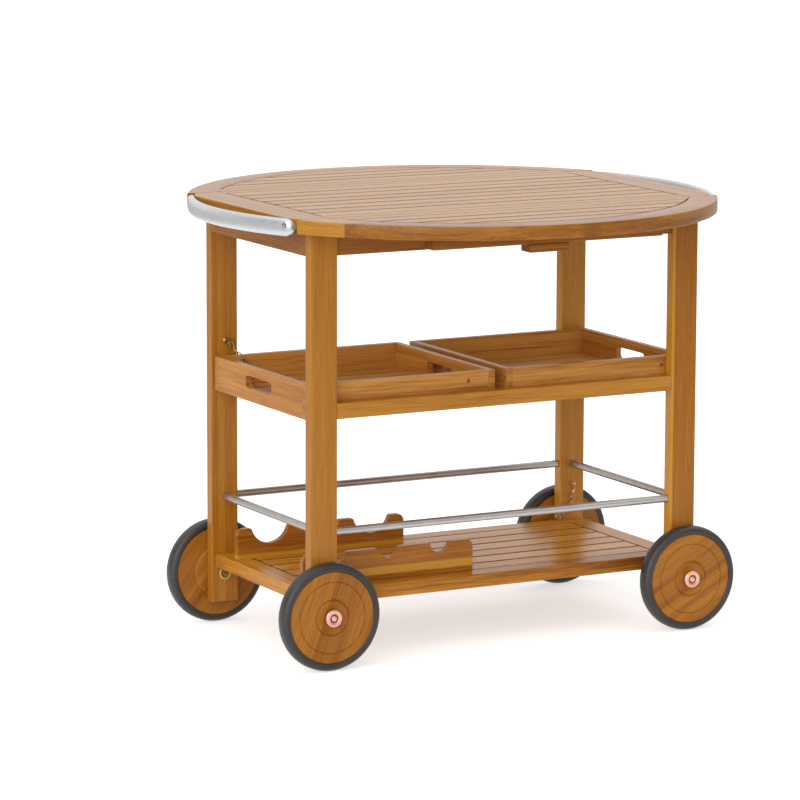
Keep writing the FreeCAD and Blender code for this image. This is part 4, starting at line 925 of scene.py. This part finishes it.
def rackBoard(name, seed):
    # the outline runs over the top from the left foot to the right one
    r, b = rackSizes, rackSizes[name]
    arc, foot = np.linspace(0, quarter, 9), r["foot"]
    corner = r["corner"] * np.stack([1 - np.cos(arc), np.sin(arc) - 1], 1)
    dips = [hollow(r["centre"] + i * r["spacing"], b["radius"], b["depth"]) for i in (-1, 0, 1)]
    left, right = (r["left"], r["high"]) + corner, (r["right"], r["high"]) + (corner * (-1, 1))[::-1]
    feet = [(r["right"], r["low"] + foot), (r["right"] - foot, r["low"]), (r["left"] + foot, r["low"])]
    outline = np.concatenate([[(r["left"], r["low"] + foot)], left, *dips, right, feet])[::-1]
    board = plate(outline + (b["shift"], 0), b["y"], b["y"] + r["thick"], r["soft"])
    tinted(board, b["tone"], seed, r["figure"], b["sap"])
    woodPiece(f"rack{name.title()}Wood", [board], acaciaWood, f"bottle_rack_{name}")


shelf()
rackBoard("back", 444)
rackBoard("front", 445)
print("shelf and rack ready")


# wheels: turned disc with a thin groove and a dished hub inside a dark ring, rounded tyre
wheelSizes = {
    "disc": 77.0, "rimSoft": 2.0, "boss": 45.0, "bossFace": 200.2, "bossSoft": 3.0,
    "back": 204.2, "face": 229.2,
    "bore": 8.05, "groove": (60.0, 1.0, 1.4), "grooveFlat": 6.0, "hub": 29.0, "dish": (15.0, 2.2),
    # the ring as steps from the hub's edge and the face
    "ring": [(2.6, 0.0), (1.6, -1.3), (0.6, -2.1), (-0.5, -1.5), (-1.4, 0.4), (-2.6, 0.9)],
    "tyreWidth": 27.0, "shoulder": 83.0, "crownPower": 2.4,
    "segments": 128, "discSmooth": 24.0, "tyreSmooth": 40.0,
    # lip, flat and shallow line as steps from the disc's edge and the tyre's side
    "sidewall": [(0.1, 1.5), (1.2, 0.2), (2.4, 0.0), (4.4, 0.0), (4.9, 0.5), (5.4, 0.5)],
    "wheels": {"front_left": (1.2, 0.50), "front_right": (0.5, 0.54),  # turn of the grain and tone
               "back_left": (0.9, 0.46), "back_right": (0.2, 0.48)},
}


def wheel(key, side, across):
    # two profiles (radius, distance out) turned about the axle: the disc's and the tyre's
    w, title, body = wheelSizes, key.title().replace("_", ""), f"wheel_{key}"
    centre = (across * cart["wheelX"], 0.0, cart["wheelZ"])
    face, back, disc, boss, bore = w["face"], w["back"], w["disc"], w["boss"], w["bore"]
    arc, dip, sink = np.linspace(0, quarter, 6), np.linspace(0, np.pi, 9), np.linspace(0, 1, 8)[1:]
    bossEdge = (boss, w["bossFace"]) + w["bossSoft"] * np.stack([np.sin(arc) - 1, 1 - np.cos(arc)], 1)
    rimEdge = (disc, face) + w["rimSoft"] * np.stack([np.cos(arc) - 1, np.sin(arc) - 1], 1)
    middle, half, deep = w["groove"]
    groove = np.stack([middle + half * np.cos(dip), face - deep * np.sin(dip)], 1)
    ring = np.array(w["ring"]) + (w["hub"], face)
    inner, deep = w["dish"]
    radius, top = ring[-1]
    dish = np.stack([radius + (inner - radius) * sink, top - deep * np.sin(sink * quarter)], 1)
    flat = w["grooveFlat"]
    profile = np.concatenate([[(bore, w["bossFace"])], bossEdge, [(boss, back), (disc, back)], rimEdge,
                              [(middle + flat, face)], groove, [(middle - flat, face)],
                              ring, dish, [(bore, dish[-1, 1])]])
    grainTurn, tone = w["wheels"][key]
    wood = tinted(lathe(profile, centre, side, w["segments"], grainTurn), tone, 500 + 2 * side + across)
    woodPiece(f"wheel{title}Wood", [wood], wheelWood, f"{body}_disc", body, w["discSmooth"])
    middle, half = (back + face) / 2, w["tyreWidth"] / 2
    sweep = np.linspace(-1, 1, 33)
    crown = (cart["wheelZ"] - w["shoulder"]) * np.sqrt(1 - np.abs(sweep) ** w["crownPower"])
    tread = np.stack([w["shoulder"] + crown, middle + half * sweep], 1)
    wall = np.array(w["sidewall"]) + (disc, 0)
    tyre = np.concatenate([wall + (0, middle - half), tread, (wall * (1, -1) + (0, middle + half))[::-1]])
    tyre = lathe(tyre, centre, side, w["segments"])
    makePiece(f"tyre{title}Rubber", [tyre], tyreRubber, body, [f"{body}_tyre"], w["tyreSmooth"])


# axles: each piece's metal, slot, node and smoothing, and its turned parts: the plane they start from,
# segments, whether the profile closes on itself, and the profile (radius, distance out from the plane)
axlePlanes = {"inner": cart["legInY"], "outer": cart["legOutY"], "cap": 231.0}
axlePieces = {
    "axleWasherRings": ("paleBrass", "zinc", (), 40, [
        ("inner", 48, True, [(7.6, 0), (7.6, -0.8), (8.2, -1.2), (9.9, -1.2), (10.5, -0.7), (10.5, 0)])]),
    # the nuts' darker brass is partly their own colour and partly painted shade round the bolt ends
    "axleNuts": ("nutShadeBrass", "zinc", (), 30, [
        ("inner", 48, False, [(0, -0.5), (7.5, -0.5), (7.5, 0), (0, 0)]),
        ("inner", 6, False, [(0, -4.6), (5.2, -4.6), (6.4, -3.9), (6.4, -0.52), (0, -0.52)]),
        ("inner", 32, False, [(0, -6.0), (2.8, -6.0), (3.8, -5.5), (3.8, -4.5), (0, -4.5)])]),
    # painted shade: a dark copper ring laid in each cap's socket recess, for the shade inside it
    "capRecessShades": ("recessShadeCopper", "cap_metal", (), 40, [
        ("cap", 48, True, [(4.7, 3.9), (7.7, 3.9), (7.7, 4.5), (7.5, 4.45), (4.9, 4.45), (4.7, 4.5)])]),
    "wheelAxlesMetal": ("yellowZinc", "zinc", ["wheel_axles"], 40, [
        ("outer", 48, False, [(0, -20), (8, -20), (8, 0), (13.5, 0), (14, 0.5), (14, 1.9), (13.5, 2.4),
                              (8, 2.4), (8, 33.4), (0, 33.4)])]),
    "wheelCapsMetal": ("copperPlate", "cap_metal", ["wheel_caps"], 40, [
        ("cap", 72, False, [(0, 0), (14.4, 0), (15, 0.6), (15, 3.0), (14.6, 4.2), (13.8, 5.1), (12.8, 5.4),
                            (11.6, 5.25), (8.6, 5.25), (7.9, 4.9), (7.5, 4.3), (4.8, 4.3), (4.4, 5.0),
                            (3.8, 5.45), (1.4, 5.5), (0, 5.5)])]),
}


def axles():
    for name, (look, slot, nodes, smooth, turned) in axlePieces.items():
        parts = [lathe(np.array(profile) + (0, axlePlanes[plane]),
                       (across * cart["wheelX"], 0.0, cart["wheelZ"]), side, segments, closed=closed)
                 for side in sides for across in sides for plane, segments, closed, profile in turned]
        makePiece(name, parts, metals[look], "frame", nodes, smooth)


for key in wheelSizes["wheels"]:
    wheel(key, 1 if "back" in key else -1, 1 if "right" in key else -1)
axles()
print("wheels ready")


# retaining chains of round wire: from a leg's screw to a pin in each tray, and to an eye on the shelf
chainSizes = {
    "wire": 1.05, "bend": 3.1, "room": 2.0, "gap": 0.15, "standOff": 4.3, "hook": (3.3, 4.0),
    "head": (4.5, 2.6, 0.6),  # radius, height and height of its edge
    "screw": (1.6, 6.5, 10.0), "pin": (2.9, 6.5, 12.0),  # radius, height out of the wood, depth in it
    "trayScrew": (-346.0, 177.5, 498.0),
    "pins": {"left": (-314.0, 161.0, 456.0), "right": (-316.0, 161.0, 456.0)},
    "ways": {"left": [(-332.5, 171.5, 483.5), (-326.5, 166.0, 475.0), (-320.0, 157.5, 468.0)],
             "right": [(-339.0, 171.0, 483.5), (-340.0, 165.0, 475.0), (-337.0, 156.5, 468.0)]},
    "shelfScrew": (345.5, 177.5, 190.5), "shelfBend": 2.5,
    "shelfWay": [(347.5, 173.2, 180.5), (345.0, 173.2, 171.0), (346.5, 172.8, 161.0), (339.5, 172.2, 152.5),
                 (331.0, 171.4, 145.5), (323.0, 170.4, 138.5)],
    "shelfHook": [(345.0, 172.0, 171.0), (343.5, 171.6, 167.6), (340.5, 171.2, 166.0), (337.6, 171.0, 167.2),
                  (336.5, 171.0, 170.0)],
    "eye": (313.5, 169.5, 132.2), "eyeBend": 4.6, "eyeWire": 1.6, "eyeHold": 3.5, "eyeStem": (0.0, 5.0, 9.0),
}
acrossY = (0, 1, 0)


def chainLink(first, last, aside, bend):
    # round wire carried along two half circles, one about each end of the link's hole
    ahead = (last - first) / np.linalg.norm(last - first)
    aside = aside - ahead * (aside @ ahead)
    aside = aside / np.linalg.norm(aside)
    turn = np.linspace(0, np.pi, 11)[:, None]
    bow = bend * (np.cos(turn) * aside + np.sin(turn) * ahead)
    path = np.concatenate([last - ahead * chainSizes["room"] + bow, first + ahead * chainSizes["room"] - bow])
    return tube(path, chainSizes["wire"], np.cross(ahead, aside), closed=True)


def chainRun(points, startRoom, endRoom, bend):
    # a link from point to point, each turned against the last
    points, gap, links = np.array(points, float), chainSizes["gap"], []
    for i, (first, last) in enumerate(zip(points[:-1], points[1:])):
        ahead = (last - first) / np.linalg.norm(last - first)
        aside = np.array([ahead[2], 0, -ahead[0]])
        links.append(chainLink(first - ahead * (gap if i else startRoom),
                               last + ahead * (gap if i < len(points) - 2 else endRoom),
                               np.cross(ahead, aside) if i % 2 else aside, bend))
    return links


def wireRing(hub, bend, wire):
    # wire carried round a circle in the X and Z plane
    turn = np.linspace(0, 2 * np.pi, 24, endpoint=False)
    path = np.array(hub) + bend * np.stack([np.cos(turn), 0 * turn, np.sin(turn)], 1)
    return tube(path, wire, acrossY, closed=True)


def screwPart(place, sizes):
    # shank and domed head turned about Y, standing out of a face towards the middle of the cart
    radius, reach, depth = sizes
    head, tall, edge = chainSizes["head"]
    bow = np.linspace(0, quarter, 7)[:-1]
    dome = np.stack([head * np.cos(bow), reach + edge + (tall - edge) * np.sin(bow)], 1)
    edge = edge / 2
    shank = [(0, -depth), (radius, -depth), (radius, reach), (head - edge, reach), (head, reach + edge)]
    return lathe(np.concatenate([shank, dome, [(0, reach + tall)]]), place, -1, 32, closed=False)


def halfTurn(parts):
    # the same pieces half a turn round the cart's upright axis
    return [dict(p, points=p["points"] * (-1, -1, 1)) for p in parts]


def trayChains():
    # a bent hook over the leg's screw, its ring, and links down to the tray's pin
    c, gap = chainSizes, chainSizes["gap"]
    screw = np.array(c["trayScrew"]) - (0, c["standOff"], 0)
    bend, arm = c["hook"]
    turn = np.linspace(quarter, 3 * quarter, 13)
    bow = screw + bend * np.stack([np.cos(turn), 0 * turn, np.sin(turn)], 1)
    path = np.concatenate([[screw + (arm / 2, 0, bend)], bow, [screw + (arm, 0, -bend)]])
    hub = screw + (arm + c["bend"], 0, -bend)
    for name in ("left", "right"):
        pin = np.array(c["pins"][name])
        points = [hub + (c["room"], 0, 0), *c["ways"][name], pin - (0, c["standOff"], 0)]
        parts = [tube(path, c["wire"], acrossY), wireRing(hub, c["bend"], c["wire"]),
                 *chainRun(points, gap, c["pin"][0] + 2 * gap, c["bend"])]
        pins, title, body = [screwPart(pin, c["pin"])], name.title(), f"tray_{name}"
        if name == "right":
            parts, pins = halfTurn(parts), halfTurn(pins)
        nodes = [f"tray_chain_{name}"]
        makePiece(f"trayChain{title}Brass", parts, metals["paleBrass"], body, nodes, 60)
        makePiece(f"trayPin{title}Copper", pins, metals["screwCopper"], body, smoothAngle=50)


def shelfChains():
    # links from a leg's screw to an eye on the shelf, with the loose tail of a hook
    c, gap = chainSizes, chainSizes["gap"]
    eye = np.array(c["eye"])
    points = [np.array(c["shelfScrew"]) - (0, c["standOff"], 0), *c["shelfWay"], eye + (c["eyeHold"], 0, 0)]
    parts = chainRun(points, c["screw"][0] + 2 * gap, gap, c["shelfBend"])
    parts.append(tube(c["shelfHook"], c["wire"], acrossY))
    stem = [eye - (0, 0, c["eyeBend"] + down) for down in c["eyeStem"]]
    eyes = [wireRing(eye, c["eyeBend"], c["eyeWire"]), tube(stem, c["eyeWire"], acrossY)]
    screws = [screwPart(c[place], c["screw"]) for place in ("trayScrew", "shelfScrew")]
    for name, half, look, nodes, smooth in (
            ("shelfEyesBrass", eyes, "paleBrass", (), 60),
            ("shelfChainsBrass", parts, "roseBrass", ["shelf_chains"], 60),
            ("chainScrewsCopper", screws, "screwCopper", ["chain_screws"], 50)):
        makePiece(name, half + halfTurn(half), metals[look], "frame", nodes, smooth)


trayChains()
shelfChains()
print("chains ready")


# nodes that keep their CAD shape get the finer materials
hiddenBoards = ["top_battens", "leaf_battens_front", "leaf_battens_back", "tray_runners", "tray_left_bearers",
                "tray_right_bearers"]
hingeParts = ["hinge_fixed_plates", "hinge_pins", "hinge_leaf_plates_front", "hinge_leaf_plates_back"]
for name in hiddenBoards + hingeParts:
    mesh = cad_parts[name].data
    mesh.materials.clear()
    mesh.materials.append(hiddenWood if name in hiddenBoards else metals["greyZinc"])


# white floor and room; what the cart mirrors of them is dimmed away from the camera and beyond the paper
stageLook = {
    "floorHalf": 60.0, "floorZ": -0.0005, "floorShade": 0.86, "floorGlow": 0.56, "paper": (1.5, 3.6),
    "dim": 0.55, "world": 0.50, "towards": (-0.47, -0.88, 0.0), "facing": (-0.75, 0.0), "rise": (0.35, 0.75),
    "lamps": {  # strength, the side the light comes from, and its spread in degrees
        "keyLamp": (1.7, (-0.74, -0.46, 0.28), 60.0), "frontLamp": (0.5, (-0.35, -0.93, 0.12), 50.0),
        "topLamp": (0.65, (0.0, -0.05, 1.0), 90.0)},
}


def paleFloor():
    # the floor glows for the camera and for mirrors only, so it stays white and keeps the cart's shadow
    half, z = stageLook["floorHalf"], stageLook["floorZ"]
    mesh = bpy.data.meshes.new("paleFloor")
    corners = [(-half, -half, z), (half, -half, z), (half, half, z), (-half, half, z)]
    mesh.from_pydata(corners, [], [(0, 1, 2, 3)])
    floor = bpy.data.objects.new("paleFloor", mesh)
    bpy.context.scene.collection.objects.link(floor)
    floor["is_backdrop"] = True
    n = Nodes("paleFloor")
    mirrored, seen = n.rays()
    away = n.vector("LENGTH", n.objectPlace(), output="Value")
    dim = n.math("MULTIPLY", mirrored, n.range(away, *stageLook["paper"], 0.0, stageLook["dim"]))
    glow = n.math("MULTIPLY", n.math("MULTIPLY", seen, n.math("SUBTRACT", 1.0, dim)), stageLook["floorGlow"])
    pale = (stageLook["floorShade"],) * 3 + (1,)
    n.look(Base_Color=n.mix(dim, pale, (0, 0, 0, 1)), Roughness=0.9, Specular_IOR_Level=0.0,
           Emission_Color=(1, 1, 1, 1), Emission_Strength=glow)
    mesh.materials.append(n.material)


def softRoom():
    # strength 1 for what is seen or mirrored, less for the light that the room gives
    world = bpy.data.worlds.new("softRoom")
    world.use_nodes = True
    w = Nodes(tree=world.node_tree)
    mirrored, seen = w.rays()
    level = w.range(seen, 0.0, 1.0, stageLook["world"], 1.0)
    way = w.add("TexCoord").outputs["Generated"]
    facing = w.range(w.vector("DOT_PRODUCT", way, stageLook["towards"], "Value"), *stageLook["facing"])
    near = w.math("MULTIPLY", facing, w.range(w.part(way, 2), *stageLook["rise"], 1.0, 0.0))
    dim = w.math("MULTIPLY", w.math("MULTIPLY", near, stageLook["dim"]), mirrored)
    ground = w.tree.nodes["Background"]
    w.put(ground.inputs["Strength"], w.math("MULTIPLY", level, w.math("SUBTRACT", 1.0, dim)))
    ground.inputs["Color"].default_value = (1, 1, 1, 1)
    bpy.context.scene.world = world


def lamps():
    for name, (strength, place, spread) in stageLook["lamps"].items():
        data = bpy.data.lights.new(name, "SUN")
        data.energy, data.angle = strength, np.radians(spread)
        lamp = bpy.data.objects.new(name, data)
        lamp.rotation_euler = (-Vector(place)).to_track_quat("-Z", "Y").to_euler()
        bpy.context.scene.collection.objects.link(lamp)


# camera fitted to the photograph: place in metres, turn in degrees, focal length in pixels of a square frame
cameraLook = {"place": (-3.49516, -6.36783, 1.60623), "yaw": 28.07, "pitch": 9.48, "roll": 0.19,
              "focal": 4292.5, "frame": 800.0, "sensor": 36.0, "far": 200.0}


def camera():
    yaw, pitch, roll = np.radians([cameraLook[key] for key in ("yaw", "pitch", "roll")])
    ahead = np.array([np.sin(yaw) * np.cos(pitch), np.cos(yaw) * np.cos(pitch), -np.sin(pitch)])
    right = np.array([np.cos(yaw), -np.sin(yaw), 0.0])
    up = np.cross(right, ahead)
    right, up = np.cos(roll) * right + np.sin(roll) * up, np.cos(roll) * up - np.sin(roll) * right
    data = bpy.data.cameras.new("photoCamera")
    data.sensor_width = cameraLook["sensor"]
    data.lens = cameraLook["focal"] * cameraLook["sensor"] / cameraLook["frame"]
    data.clip_end = cameraLook["far"]
    viewer = bpy.data.objects.new("photoCamera", data)
    turn = Matrix((right, up, -ahead)).transposed().to_4x4()
    viewer.matrix_world = Matrix.Translation(cameraLook["place"]) @ turn
    bpy.context.scene.collection.objects.link(viewer)
    bpy.context.scene.camera = viewer


paleFloor()
softRoom()
lamps()
camera()
bpy.context.scene.view_settings.view_transform = "Standard"
print("stage ready")

low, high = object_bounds()
